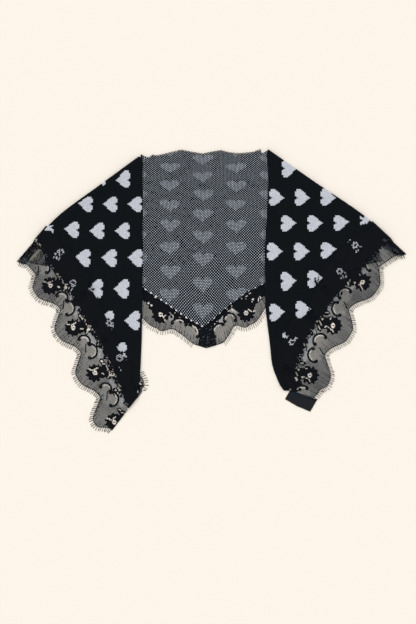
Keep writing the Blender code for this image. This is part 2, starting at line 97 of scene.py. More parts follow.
# Lace, a row for each turn of its outline: kind, outer x, outer y, inner x, inner y
laceWing = {
    "left": (
        ("plain", -448, 65, -378.5, 145.5), ("plain", -424, 58, -360, 133), ("valley", -403, 34, -336, 113),
        ("peak", -408, -3, -308, 82), ("valley", -346, -45, -275, 33),
        ("peak", -357, -99, -255, -8), ("valley", -299, -146, -229, -63),
        ("peak", -309, -201, -208, -111), ("valley", -255, -249, -181, -164),
        ("peak", -269, -306, -170, -204), ("valley", -229, -324, -166, -243),
    ),
    "right": (
        ("plain", 448, 82, 368.5, 156), ("plain", 424, 79, 350, 144), ("valley", 385, 52, 320, 124),
        ("peak", 381, 1, 282, 90), ("valley", 315, -45, 240, 34),
        ("peak", 320, -101, 218, -17), ("valley", 260, -150, 176, -72),
        ("peak", 269, -213, 140, -128), ("valley", 246, -238, 145, -184),
        ("plain", 231, -253, 175, -236),
    ),
}
laceBack = {
    "left": (
        ("plain", -419, 61, -348, 139), ("valley", -351, 49, -311, 135),
        ("peak", -321, 6, -270, 117), ("valley", -249, 2, -206, 86),
        ("peak", -220, -40, -169, 70), ("valley", -174, -52, -141, 56),
        ("peak", -125, -89, -82, 22), ("valley", -82, -94, -59, 9),
        ("plain", -60, -110, -44, 0), ("plain", -41, -126, -32, -6), ("plain", -12.3, -135, -17.3, -15),
    ),
    "right": (
        ("plain", 394, 66, 351, 155), ("valley", 343, 55, 310, 144),
        ("peak", 294, 8, 252, 123), ("valley", 237, 15, 204, 105),
        ("peak", 188, -31, 146, 83), ("valley", 134, -23, 101, 66),
        ("peak", 86, -82, 49, 33), ("valley", 50, -86, 24, 13), ("plain", 41, -104, 18, 8),
        ("plain", 27, -123, 6, -1), ("plain", -12, -135, -17, -15),
    ),
}
mitre = ((-27, -84.5), (-18, -88.5), (0, -75.5), (6, -95), (12, -128), (-9, -134), (-31, -128),
         (-26, -100))
laceEnd = (
    ("valley", -166, -190, -188, -200), ("peak", -157, -214, -193, -216),
    ("valley", -158, -236, -197, -234), ("plain", -184, -264, -202, -248),
)
labelOutline = ((169, -252), (196, -268), (227, -281), (243, -253), (181, -231))


# Curves and blends, on arrays

def ease(low, high, value):
    part = np.clip((value - low) / (high - low), 0, 1)
    return part * part * (3 - 2 * part)


def mix(a, b, part):
    a, b = np.asarray(a), np.asarray(b)
    return a + (b - a) * part


def unit(vector):
    vector = np.asarray(vector, float)
    return vector / np.linalg.norm(vector, axis=-1, keepdims=True)


def quarterTurn(vectors):
    # Each vector turned a quarter clockwise
    vectors = np.asarray(vectors)
    return np.stack((vectors[..., 1], -vectors[..., 0]), axis=-1)


def lengthAlong(points):
    return np.concatenate(([0], np.cumsum(np.linalg.norm(np.diff(points, axis=0), axis=1))))


def readPath(path, where, part):
    return np.column_stack([np.interp(part, where, path[:, axis]) for axis in (0, 1)])


def resample(points, count):
    length = lengthAlong(points)
    return readPath(points, length, np.linspace(0, length[-1], count))


def at(path, part):
    return readPath(path, np.linspace(0, 1, len(path)), part)


def smoothPath(points, count=160):
    # A curve through the points, then evened out
    knots = np.array(points, float)
    padded = np.vstack((2 * knots[0] - knots[1], knots, 2 * knots[-1] - knots[-2]))
    dense = []
    for before, a, b, after in zip(padded, padded[1:], padded[2:], padded[3:]):
        for part in np.linspace(0, 1, 12, endpoint=False):
            dense.append(0.5 * (2 * a + (b - before) * part
                                + (2 * before - 5 * a + 4 * b - after) * part ** 2
                                + (3 * a - before - 3 * b + after) * part ** 3))
    return resample(np.array(dense + [knots[-1]]), count)


for wing in wings.values():
    for edge in ("fold", "inner", "lower"):
        wing[edge] = smoothPath(wing[edge])


# Heights of the layers

def edgeDistance(x, y):
    xs, ys = zip(*lowerEdge)
    return y - np.interp(x, xs, ys)


def backBottom(x, y):
    return laceSeat * (1 - ease(*layers["rise"], edgeDistance(x, y)))


def laceFloor(x, y, wing, slack=0.0):
    start, end = layers["laceDrop"]
    overLace = laceSeat * ease(end - slack, start - slack, edgeDistance(x, y))
    mound = wing["mound"]
    away = np.hypot(x - mound["at"][0], y - mound["at"][1])
    fall = ease(mound["full"] + slack, mound["end"] + slack, away)
    return np.maximum(overLace, mound["height"] * (1 - fall))


def foldPuff(radius, start, end, depth):
    # How far the soft roll at the fold lifts a layer
    return (2 * radius - walls["gap"]) * (1 - ease(start, end, depth))


def wingBottom(x, y, depth, wing, slack=0.0):
    away = edgeDistance(x, y)
    overBack = knitSeat + laceSeat * (1 - ease(*layers["wingRise"], away - slack))
    floor = laceFloor(x, y, wing, slack)
    start, end = layers["edgeDrop"]
    settled = mix(floor, np.maximum(overBack, floor), ease(end - slack, start - slack, away))
    return settled + foldPuff(fold["radius"], fold["inset"], fold["puffEnd"] + slack, depth)


def pastEdge(points, wing):
    # How far points lie outside the wing's lower edge, a few thousand at a time
    path, batch = wing["lower"], 8000
    run = unit(np.gradient(path, axis=0))
    out = quarterTurn(run) * -wing["side"]
    result = np.empty(len(points))
    for start in range(0, len(points), batch):
        part = points[start:start + batch]
        near = np.argmin(((part[:, None] - path[None]) ** 2).sum(axis=2), axis=1)
        result[start:start + batch] = ((part - path[near]) * out[near]).sum(axis=1)
    return result


def laceHeight(points, wing):
    # Underside of the lace on a folded end
    x, y = points.T
    run = unit(wing["fold"][-1] - wing["fold"][-30])
    inward = quarterTurn(run) * wing["side"]
    depth = (points - wing["fold"][-1]) @ inward
    bare = ease(*layers["laceFall"], pastEdge(points, wing))
    onKnit = wingBottom(x, y, depth, wing, layers["slack"]) + walls["knit"] + fold["laceLie"]
    puff = foldPuff(fold["laceRadius"], fold["laceRadius"], fold["puffEnd"], depth)
    return mix(onKnit, laceFloor(x, y, wing, layers["slack"]) + puff, bare)


# The folded ends in plan

def wingPlan(wing, part, across):
    straight = mix(wing["fold"][0], wing["fold"][-1], across[:, None])
    bow = (at(wing["fold"], across) - straight) * (1 - part[:, None]) ** 2
    return mix(at(wing["inner"], part), at(wing["lower"], part), across[:, None]) + bow


def foldOutward(wing, across, reach=0.05):
    ahead, behind = np.minimum(across + reach, 1), np.maximum(across - reach, 0)
    tangent = unit(at(wing["fold"], ahead) - at(wing["fold"], behind))
    return quarterTurn(tangent) * -wing["side"]


def lipPoint(wing, across, inset):
    axis = wingPlan(wing, np.full(len(across), fold["inset"] / fold["depth"]), across)
    run = unit(mix(wing["lipTop"], wing["lipLow"], across[:, None]))
    slope = -(run * foldOutward(wing, across)).sum(axis=1)
    return axis + run * (inset / slope)[:, None]


# How far each flank of a scallop hollows near its valley and swells near its peak
scallop = {"before": 1.5, "after": 4.0}


def rowEnds(row):
    # Outer and inner point of a row of lace
    return np.array(row[1:3], float), np.array(row[3:5], float)


def stripStations(rows, steps):
    # Outer and inner points along a lace, each half scallop rounded from valley to peak
    outers, inners = [], []
    for first, second in zip(rows, rows[1:]):
        rounded = {"valley", "peak"} == {first[0], second[0]}
        peak, valley = (first, second) if first[0] == "peak" else (second, first)
        (top, inside), (low, _) = rowEnds(peak), rowEnds(valley)
        out = unit(top - inside)
        rise = np.dot(top - low, out) if rounded else 0
        part = np.linspace(0, 1, steps, endpoint=False)[:, None]
        up = part if peak is second else 1 - part
        hollow = scallop["before" if peak is second else "after"] if rounded else 0
        swell = rise * (np.sin(up * math.pi / 2) - up) - hollow * np.sin(up * 2 * math.pi)
        outers.append(mix(rowEnds(first)[0], rowEnds(second)[0], part) + out * swell)
        inners.append(mix(rowEnds(first)[1], rowEnds(second)[1], part))
    outer, inner = rowEnds(rows[-1])
    return np.vstack((*outers, outer)), np.vstack((*inners, inner))


# Mesh helpers

def newObject(name, mesh, *materials):
    piece = bpy.data.objects.new(name, mesh)
    bpy.context.scene.collection.objects.link(piece)
    for material in materials:
        mesh.materials.append(material)
    return piece


def meshOf(name, shape):
    mesh = bpy.data.meshes.new(name)
    shape.to_mesh(mesh)
    shape.free()
    return mesh


def finishedMesh(piece):
    # The piece's mesh with its modifiers applied; the piece itself goes
    graph = bpy.context.evaluated_depsgraph_get()
    graph.update()
    mesh = bpy.data.meshes.new_from_object(piece.evaluated_get(graph))
    bpy.data.objects.remove(piece)
    return mesh


def gridShape(columns, rows):
    shape = bmesh.new()
    bmesh.ops.create_grid(shape, x_segments=columns, y_segments=rows, size=1)
    shape.verts.ensure_lookup_table()
    column = np.array([round((vert.co.x + 1) / 2 * columns) for vert in shape.verts])
    row = np.array([round((vert.co.y + 1) / 2 * rows) for vert in shape.verts])
    return shape, column, row


def addWall(piece, thickness, **settings):
    wall = piece.modifiers.new("wall", "SOLIDIFY")
    wall.thickness, wall.offset = thickness * mm, 1
    for name, value in settings.items():
        setattr(wall, name, value)


def coordinates(mesh):
    flat = np.empty(len(mesh.vertices) * 3)
    mesh.vertices.foreach_get("co", flat)
    return flat.reshape(-1, 3)


def setCoordinates(mesh, points):
    mesh.vertices.foreach_set("co", np.asarray(points, float).ravel())
    mesh.update()


def toWorld(points):
    points = np.array(points, float)
    points[:, :2] -= middle
    return points * mm


def joined(name, pieces):
    # One object from several
    whole, materials = bmesh.new(), []
    for piece in pieces:
        mesh = finishedMesh(piece)
        materials += [material for material in mesh.materials if material not in materials]
        before = len(whole.faces)
        whole.from_mesh(mesh)
        whole.faces.ensure_lookup_table()
        for face in whole.faces[before:]:
            face.material_index = materials.index(mesh.materials[face.material_index])
    return newObject(name, meshOf(name, whole), *materials)


def layFloor(base):
    def lay(flat, rise):
        return np.column_stack((flat, base + rise * np.ones(len(flat))))
    return lay


def cords(name, paths, lay, flatten=0.55, lift=0.5, lowest=0.05):
    # Raised threads: each path is points and a radius for each, laid on the net
    curve = bpy.data.curves.new(name, "CURVE")
    curve.dimensions = "3D"
    curve.bevel_depth = curve.bevel_resolution = 1
    curve.use_fill_caps = True
    for points, radii in paths:
        spline = curve.splines.new("POLY")
        spline.points.add(len(points) - 1)
        for knot, point, radius in zip(spline.points, points, radii):
            knot.co = (*point, 0, 1)
            knot.radius = radius
    shape = bmesh.new()
    shape.from_mesh(finishedMesh(newObject(name, curve)))
    bmesh.ops.remove_doubles(shape, verts=shape.verts, dist=0.001)      # closes the ends
    mesh = meshOf(name, shape)
    points = coordinates(mesh)
    rise = np.maximum(lift + points[:, 2] * flatten, lowest)
    setCoordinates(mesh, toWorld(lay(points[:, :2], rise)))
    mesh.shade_smooth()
    return newObject(name, mesh, cordThread)


def finish(piece):
    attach(piece, "root")
    return piece


# Materials

def colour(hexValue):
    # sRGB hex to linear
    parts = [int(hexValue[start:start + 2], 16) / 255 for start in (1, 3, 5)]
    return [part / 12.92 if part <= 0.04045 else ((part + 0.055) / 1.055) ** 2.4 for part in parts] + [1]


def newMaterial(name, roughness, specular):
    material = bpy.data.materials.new(name)
    material.use_nodes = True
    shader = material.node_tree.nodes["Principled BSDF"]
    shader.inputs["Roughness"].default_value = roughness
    shader.inputs["Specular IOR Level"].default_value = specular
    return material


def addNode(material, kind, inputs=(), **settings):
    # Adds a node; its inputs are numbers, colours, or the nodes and outputs that are linked to them
    node = material.node_tree.nodes.new("ShaderNode" + kind)
    for name, value in settings.items():
        setattr(node, name, value)
    for socket, value in inputs.items() if isinstance(inputs, dict) else enumerate(inputs):
        if isinstance(value, bpy.types.Node):
            value = value.outputs[0]
        if isinstance(value, bpy.types.NodeSocket):
            material.node_tree.links.new(value, node.inputs[socket])
        else:
            node.inputs[socket].default_value = value
    return node


def dress(material, baseColour, height=None, depth=0.0, strength=0.0):
    # Gives the shader its colour and, where there is a height in metres, its relief
    shader = material.node_tree.nodes["Principled BSDF"]
    material.node_tree.links.new(baseColour, shader.inputs["Base Color"])
    if height:
        bump = addNode(material, "Bump", {"Height": height, "Distance": depth, "Strength": strength})
        material.node_tree.links.new(bump.outputs[0], shader.inputs["Normal"])
    return material


def yarnFuzz(material, scale, detail, low, high):
    # Loose fibres that darken and lighten the yarn a little, in patches of a few millimetres
    place = addNode(material, "TexCoord").outputs["Object"]
    noise = addNode(material, "TexNoise", {"Vector": place, "Scale": scale, "Detail": detail})
    return addNode(material, "MapRange", (noise, 0.3, 0.7, low, high))


# Two-colour jacquard: 25 wales and 17 rows to each heart, hearts in columns staggered by half.
# A wale is about 2.7 mm wide and a row 3.5 mm high, as in the real knit.
# The chart gives each row's outer edge and notch, in wales from the heart's middle, tip first.
knitLook = {
    "walesPerHeart": 25, "rowsPerHeart": 17, "firstRow": 3,
    "outer": (0, 1, 2, 4, 5, 6, 7, 7, 7, 5), "notch": (0, 0, 0, 0, 0, 0, 0, 0, 1, 2),
    "black": "#0f1418", "pale": "#cccfd8", "reverseDark": "#070b10", "reversePale": "#eaf3ff",
    "roughness": 0.9, "specular": 0.06, "relief": 0.0009, "reliefStrength": 0.6,
    # V stitches of the right side, with painted light on their crowns and painted shade in their hollows, then
    # loops of the wrong side
    "slant": 1.1, "paintedShades": (0.70, 1.08), "faceFuzz": (260, 3, 0.88, 1.10),
    "loop": (0.36, 0.25), "plainDot": 0.80, "heartDot": 0.20, "ghost": 0.42, "reverseFuzz": (220, 3, 0.82, 1.0),
}


def knitCells(material):
    # Row and wale of the stitch, and whether the chart makes it pale
    look, steps = knitLook, 10
    add = partial(addNode, material)
    wales, rows = look["walesPerHeart"], look["rowsPerHeart"]
    place = add("SeparateXYZ", (add("UVMap", uv_map="stitches"),))
    shown = add("SeparateXYZ", (add("UVMap", uv_map="heartsShown"),))
    row, wale = place.outputs[0], place.outputs[1]
    column = add("Math", (wale, wales), operation="DIVIDE")
    column = add("Math", (column,), operation="FLOOR")
    odd = add("Math", (column, 2), operation="FLOORED_MODULO")
    staggered = add("Math", (odd, rows / 2, row), operation="MULTIPLY_ADD")
    across = add("Math", (wale, wales), operation="FLOORED_MODULO")
    across = add("Math", (across,), operation="FLOOR")
    fromMiddle = add("Math", (across, wales // 2), operation="SUBTRACT")
    fromMiddle = add("Math", (fromMiddle,), operation="ABSOLUTE")
    along = add("Math", (staggered, rows), operation="FLOORED_MODULO")
    chart = add("ValToRGB", (add("Math", (along, rows), operation="DIVIDE"),))
    ramp = chart.color_ramp
    ramp.interpolation = "CONSTANT"
    ramp.elements[1].position = (look["firstRow"] + len(look["outer"])) / rows
    for stop in ramp.elements:
        stop.color = (0, 1, 0, 1)
    for step, (outer, notch) in enumerate(zip(look["outer"], look["notch"])):
        stop = ramp.elements.new((look["firstRow"] + step) / rows)
        stop.color = ((outer + 0.5) / steps, (notch + 0.5) / steps, 0, 1)
    limits = add("SeparateColor", (chart,))
    share = add("Math", (fromMiddle, steps), operation="DIVIDE")
    within = add("Math", (share, limits.outputs[0]), operation="LESS_THAN")
    share = add("Math", (share, 1 / steps), operation="ADD")
    outside = add("Math", (share, limits.outputs[1]), operation="GREATER_THAN")
    inside = add("Math", (within, outside), operation="MULTIPLY")
    whole = add("Math", (shown, 0.5), operation="GREATER_THAN")
    return row, wale, add("Math", (inside, whole), operation="MULTIPLY")


def makeKnitFace():
    # Right side: wool jacquard, machine knitted. Matt, with V stitches that shade each heart softly: their lit
    # crowns and shaded hollows are painted into the colour as well as raised.
    look = knitLook
    material = newMaterial("jacquardKnitFace", look["roughness"], look["specular"])
    add = partial(addNode, material)
    row, wale, inside = knitCells(material)
    leg = add("Math", (wale,), operation="FRACT")
    leg = add("Math", (leg, 0.5), operation="SUBTRACT")
    leg = add("Math", (leg,), operation="ABSOLUTE")
    slant = add("Math", (leg, look["slant"], row), operation="MULTIPLY_ADD")
    slant = add("Math", (slant,), operation="FRACT")
    crowns = []
    for part, turn in ((slant, math.pi), (leg, 2 * math.pi)):      # rounded along and across each leg
        angle = add("Math", (part, turn), operation="MULTIPLY")
        crowns.append(add("Math", (angle,), operation="SINE"))
    height = add("Math", crowns, operation="MULTIPLY")
    height = add("Math", (height, 0.5), operation="POWER").outputs[0]
    # painted light and shade: the colour darkens in the hollows between the stitch legs and lightens on their
    # crowns
    shade = add("MapRange", (height, 0, 1, *look["paintedShades"]))
    shade = add("Math", (shade, yarnFuzz(material, *look["faceFuzz"])), operation="MULTIPLY")
    yarn = add("Mix", {0: inside, 6: colour(look["black"]), 7: colour(look["pale"])}, data_type="RGBA")
    shaded = add("VectorMath", {0: yarn.outputs[2], 3: shade}, operation="SCALE")
    return dress(material, shaded.outputs[0], height, look["relief"], look["reliefStrength"])


def makeKnitReverse():
    # Wrong side: birdseye backing, a checker of black and pale stitches, and the hearts as lighter ghosts.
    look = knitLook
    material = newMaterial("birdseyeKnitReverse", look["roughness"], look["specular"])
    add = partial(addNode, material)
    row, wale, inside = knitCells(material)
    floors = [add("Math", (part,), operation="FLOOR") for part in (row, wale)]
    parity = add("Math", floors, operation="ADD")
    parity = add("Math", (parity, 2), operation="FLOORED_MODULO")
    cell = add("VectorMath", (add("UVMap", uv_map="stitches"),), operation="FRACTION")
    away = add("VectorMath", (cell, (0.5, 0.5, 0)), operation="DISTANCE").outputs["Value"]
    loop = add("MapRange", (away, *look["loop"], 0, 1), interpolation_type="SMOOTHSTEP").outputs[0]
    dot = add("Math", (parity, loop), operation="MULTIPLY")
    level = add("Math", (inside, look["heartDot"], look["plainDot"]), operation="MULTIPLY_ADD")
    dot = add("Math", (dot, level), operation="MULTIPLY")
    ghost = add("Math", (loop, look["ghost"]), operation="MULTIPLY")
    amount = add("Math", (inside, ghost, dot), operation="MULTIPLY_ADD")
    amount = add("Math", (amount, 1.0), operation="MINIMUM")
    amount = add("Math", (amount, yarnFuzz(material, *look["reverseFuzz"])), operation="MULTIPLY")
    dark, pale = colour(look["reverseDark"]), colour(look["reversePale"])
    yarn = add("Mix", {0: amount, 6: dark, 7: pale}, data_type="RGBA")
    return dress(material, yarn.outputs[2], loop, look["relief"], look["reliefStrength"])


# Twisted viscose or wool thread: its fibres break the light up, so it is nearly matt and never one flat tone.
# The fibres are drawn in patches of about a millimetre, because real ones are too fine to show.
threadFuzz = (900, 2, 0.6, 1.5)
threads = {
    "blackNetThread": ("#1a2832", 0.85, 0.1),          # fine net: a cool haze over what it covers
    "slateOpenThread": ("#43566b", 0.85, 0.1),         # thin open ground, so lighter
    "blackLaceClothwork": ("#0d0f13", 0.85, 0.06),     # closely worked flowers and leaves: dull
    "blackCordThread": ("#0c0d11", 0.8, 0.1),          # raised outlines, with a faint lift
    "paleWoolYarn": ("#dde1ea", 0.9, 0.1),             # stitches along the lower edge
}


def makeThread(name, hexValue, roughness, specular):
    material = newMaterial(name, roughness, specular)
    tint = yarnFuzz(material, *threadFuzz)
    shaded = addNode(material, "VectorMath", {0: colour(hexValue)[:3], 3: tint}, operation="SCALE")
    return dress(material, shaded.outputs[0])


# Woven polyester ribbon: fine cross ribs that catch a little more light than the knit, with painted light on
# each rib's crown and painted shade in the groove between, as well as their relief.
# The ribs are drawn 2 mm apart, about four times as coarse as real ones, so that they show.
ribbonLook = {"colour": "#1d1e22", "roughness": 0.7, "specular": 0.08, "turn": -27, "ribs": 160.0,
              "uneven": 0.6, "paintedShades": (0.75, 1.25), "relief": 0.0003, "reliefStrength": 0.5}


def makeRibbon():
    look = ribbonLook
    material = newMaterial("wovenRibbon", look["roughness"], look["specular"])
    add = partial(addNode, material)
    place = add("TexCoord").outputs["Object"]
    turned = add("Mapping", {0: place, "Rotation": (0, 0, math.radians(look["turn"]))})
    ribs = add("TexWave", {"Vector": turned, "Scale": look["ribs"], "Distortion": look["uneven"]},
               wave_type="BANDS", bands_direction="Y").outputs[1]
    # painted light and shade: the colour lightens on the rib crowns and darkens in the grooves
    tint = add("MapRange", (ribs, 0, 1, *look["paintedShades"]))
    shaded = add("VectorMath", {0: colour(look["colour"])[:3], 3: tint}, operation="SCALE")
    return dress(material, shaded.outputs[0], ribs, look["relief"], look["reliefStrength"])


knitFace, knitReverse, ribbon = makeKnitFace(), makeKnitReverse(), makeRibbon()
netThread, openThread, clothwork, cordThread, paleYarn = [makeThread(name, *threads[name]) for name in threads]
print("materials made")


# Knit

# Where the hearts fall: the columns' places across, and the first heart and the pitch along each, as the
# cloth is stretched. Columns tilt past "from", x and its change with y. Hidden boxes are low and high corners.
heartLayout = {
    "left": {"columns": (326.8, 250.5, 196.6, 134.5, 73.6, 1.8, -71.3, -143.5, -290), "slope": 0.10,
             "from": (290, 0), "way": 1,
             "first": (-173.6, -173.8, -174.6, -174.5, -172.8, -174.8, -181, -180, -180),
             "pitch": (56, 56, 56.6, 58, 60.5, 60.3, 59.8, 62.1, 62.1),
             "hidden": ((-400, 146, -357, 175), (-270, 225, -250.7, 262), (-251, 225, -235, 239.5))},
    "right": {"columns": (346.2, 278.1, 210.0, 152.7, 87.6, 19.6, -55.9, -124.2, -270), "slope": 0.12,
              "from": (168, 0.78), "way": -1,
              "first": (147.6, 147.9, 148.4, 145.4, 143.7, 144.7, 149.5, 149.5, 149.5),
              "pitch": (58.9, 58.9, 58.9, 60.5, 61.8, 61.2, 59.8, 59.8, 59.8),
              "hidden": ((340, 140, 395, 150.6), (362, 150, 395, 185), (335, 166.8, 395, 190))},
    "back": {"first": -95.5, "pitch": 76.1, "top": 286.3, "start": 0.66, "hearts": 150 / 11, "opens": 533.18,
             "fan": 0.04, "fanFrom": (60, -80), "uneven": 0.5},
    "wholePast": 0.08,
}


def wingStitches(side, x, y):
    # Row and wale of points on a folded end, whose stitches run across it
    layout = heartLayout[side]
    knots = np.array(layout["columns"], float)
    numbers = np.arange(len(knots), dtype=float)
    level = y - layout["slope"] * np.maximum(np.abs(x) - layout["from"][0] - layout["from"][1] * y, 0)
    column = np.interp(level, knots[::-1], numbers[::-1])
    column -= np.maximum(level - knots[0], 0) / (knots[0] - knots[1])
    column += np.maximum(knots[-1] - level, 0) / (knots[-2] - knots[-1])
    first, pitch = (np.interp(column, numbers, layout[name]) for name in ("first", "pitch"))
    along = (x - first) / pitch * layout["way"]
    # no heart shows where it would run off the inner edge, or in the corner folds
    shown = (np.round(column) % 2 != 1) | (along <= heartLayout["wholePast"])
    for lowX, lowY, highX, highY in layout["hidden"]:
        shown &= ~((x > lowX) & (x < highX) & (y > lowY) & (y < highY))
    return (along + 0.5) * knitLook["rowsPerHeart"], (column + 0.5) * knitLook["walesPerHeart"], shown


def backStitches(x, y):
    # Row and wale on the back, where the rows open up towards the point and the cloth is a little uneven
    layout = heartLayout["back"]
    hearts = layout["hearts"] * np.log(np.maximum(1 + (layout["top"] - y) / layout["opens"], 0.2))
    fan = layout["fan"] * np.abs(x - apexX) * ease(*layout["fanFrom"], y)
    uneven = layout["uneven"] * np.sin(x / 17 + np.sin(y / 29)) * np.sin(y / 23 + 1.5 * np.sin(x / 31))
    sway = layout["uneven"] * np.sin(x / 27 + 2) * np.sin(y / 19 + np.sin(x / 41))
    row = (layout["start"] - hearts) * knitLook["rowsPerHeart"] - fan + uneven
    wale = ((x - layout["first"]) / layout["pitch"] + 0.5) * knitLook["walesPerHeart"] + sway
    return row, wale, np.ones(len(x))


def knitSheet(name, rows, columns, place, turned, *materials):
    # A grid laid out by place(row, column), thickened to the outside, with the second material inside
    shape, column, row = gridShape(columns, rows)
    points, stitches = place(row, column)
    for vert, point in zip(shape.verts, toWorld(points)):
        vert.co = point
    layer, shown = shape.loops.layers.uv.new("stitches"), shape.loops.layers.uv.new("heartsShown")
    for face in shape.faces:
        for loop in face.loops:
            loop[layer].uv = stitches[loop.vert.index][:2]
            loop[shown].uv = (stitches[loop.vert.index][2], 0)
    if turned:
        bmesh.ops.reverse_faces(shape, faces=shape.faces)
    piece = newObject(name, meshOf(name, shape), *materials)
    addWall(piece, walls["knit"], use_even_offset=True, material_offset=1, material_offset_rim=1)
    piece.data.shade_smooth()
    return piece


# Rows of the grid under the fold, round it (from and to in degrees), over its puff and across the wing
wingLook = {"lipRows": 3, "roll": (-90, 78, 8), "puffRows": 6, "rows": 72, "columns": 72, "reach": 0.975}


def knitWing(side):
    wing, lipRows, columns = wings[side], wingLook["lipRows"], wingLook["columns"]
    turns = np.radians(np.linspace(*wingLook["roll"]))
    start, end = fold["inset"] / fold["depth"], fold["puffEnd"] / fold["depth"]
    parts = np.concatenate((np.linspace(start, end, wingLook["puffRows"]),
                            np.linspace(end, wingLook["reach"], wingLook["rows"])[1:]))

    def place(row, column):
        across = column / columns
        inLip, inRoll = row < lipRows, (row >= lipRows) & (row < lipRows + len(turns))
        part = parts[np.maximum(row - lipRows - len(turns), 0)]
        plan = wingPlan(wing, part, across)
        top = wingBottom(plan[:, 0], plan[:, 1], part * fold["depth"], wing)
        outward = foldOutward(wing, across)
        low = backBottom(plan[:, 0], plan[:, 1]) + walls["knit"]
        turn = turns[np.clip(row - lipRows, 0, len(turns) - 1)]
        around = plan + outward * (fold["radius"] * np.cos(turn))[:, None]
        inset = fold["lip"] * (1 - row / lipRows)
        lip = lipPoint(wing, across, inset)
        lipLow = backBottom(lip[:, 0], lip[:, 1]) + walls["knit"]
        xy = np.where(inLip[:, None], lip, np.where(inRoll[:, None], around, plan))
        z = np.where(inLip, lipLow, np.where(inRoll, mix(low, top, 0.5 + 0.5 * np.sin(turn)), top))
        # the stitches go on round the fold as on flat cloth
        beyond = np.where(inLip, fold["radius"] * math.pi + inset,
                          np.where(inRoll, fold["radius"] * (math.pi / 2 - turn), 0))
        flat = plan + outward * beyond[:, None]
        return np.column_stack((xy, z)), np.column_stack(wingStitches(side, *flat.T))

    return knitSheet("knitWing" + side.title(), lipRows + len(turns) + len(parts) - 1, columns, place,
                     side == "right", knitFace, knitReverse)


def knitBack():
    spread = np.linspace(0, 1, 60)
    inset = {side: lipPoint(wing, spread, np.full(len(spread), fold["lip"] + walls["gap"]))
             for side, wing in wings.items()}
    left, right = inset["left"][::-1], inset["right"]
    upper = np.vstack((left, topEdge, right))
    lowerXs, lowerYs = zip(*lowerEdge)
    rows, columns, sideGap = 64, 180, 6
    xs = np.linspace(left[0][0] + sideGap, right[-1][0] - sideGap, columns + 1)
    xs[np.argmin(np.abs(xs - apexX))] = apexX

    def place(row, column):
        x = xs[column]
        low = np.interp(x, lowerXs, lowerYs)
        height = np.interp(x, upper[:, 0], upper[:, 1]) - low
        up = height * row / rows
        y = low + up
        wave = (x - ripple["first"]) / ripple["pitch"]
        crest = np.where((wave > 0) & (wave < ripple["count"]), 0.5 - 0.5 * np.cos(2 * math.pi * wave), 0)
        lift = ripple["lift"] * crest * ease(height - ripple["depth"], height, up)
        return np.column_stack((x, y, backBottom(x, y) + lift)), np.column_stack(backStitches(x, y))

    return knitSheet("knitBack", rows, columns, place, False, knitReverse, knitFace)


edgeLook = {
    "from": -151.4, "to": 120, "every": 14.1, "wider": 17.0, "size": (3.0, 2.1, 1.2), "smaller": 0.62,
    "up": 1.2, "loopEvery": 7.4, "loopWidth": 0.84, "loop": 2.4, "sunk": 0.3, "yarn": 0.75,
}


def edgeStitches():
    # Pale stitches that show along the back's lower edge, smaller and wider apart right of the point
    look, reach = edgeLook, 4
    xs, ys = zip(*lowerEdge)
    shape = bmesh.new()
    x = look["from"]
    while x < look["to"]:
        y = np.interp(x, xs, ys)
        run = unit((2.0 * reach, np.interp(x + reach, xs, ys) - np.interp(x - reach, xs, ys)))
        scale = 1.0 if x < apexX else look["smaller"]
        for vert in bmesh.ops.create_icosphere(shape, subdivisions=1, radius=1)["verts"]:
            away = np.array(vert.co) * look["size"] * scale
            flat = np.array((x, y + look["up"])) + run * away[0] - quarterTurn(run) * away[1]
            vert.co = toWorld([(*flat, backBottom(*flat) + walls["knit"] + away[2])])[0]
        x += (look["every"] if x < apexX else look["wider"]) * run[0]
    mesh = meshOf("edgeStitches", shape)
    mesh.shade_smooth()
    return newObject("edgeStitches", mesh, paleYarn)


def edgeLoops():
    # Loops of yarn along the top edge, where the knit turns at its selvedge
    look, paths, knots = edgeLook, [], 6
    xs, ys = np.array(topEdge, float).T
    turn = np.linspace(0, math.pi, knots)
    for x in np.arange(xs[0] + look["loopEvery"], xs[-1], look["loopEvery"]):
        across = x + look["loopEvery"] * look["loopWidth"] / 2 * np.cos(turn)
        rise = np.interp(across, xs, ys) + look["loop"] * np.sin(turn) - look["sunk"]
        paths.append((np.column_stack((across, rise)), np.full(knots, look["yarn"])))
    return cords("edgeLoops", paths, layFloor(walls["knit"] / 2), flatten=1.0)


back = finish(joined("knitBack", [knitBack(), edgeStitches(), edgeLoops()]))
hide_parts("knit_back")
for side in wings:
    piece = finish(knitWing(side))
    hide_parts("knit_wing_" + side)
print("knit made")


# Lace

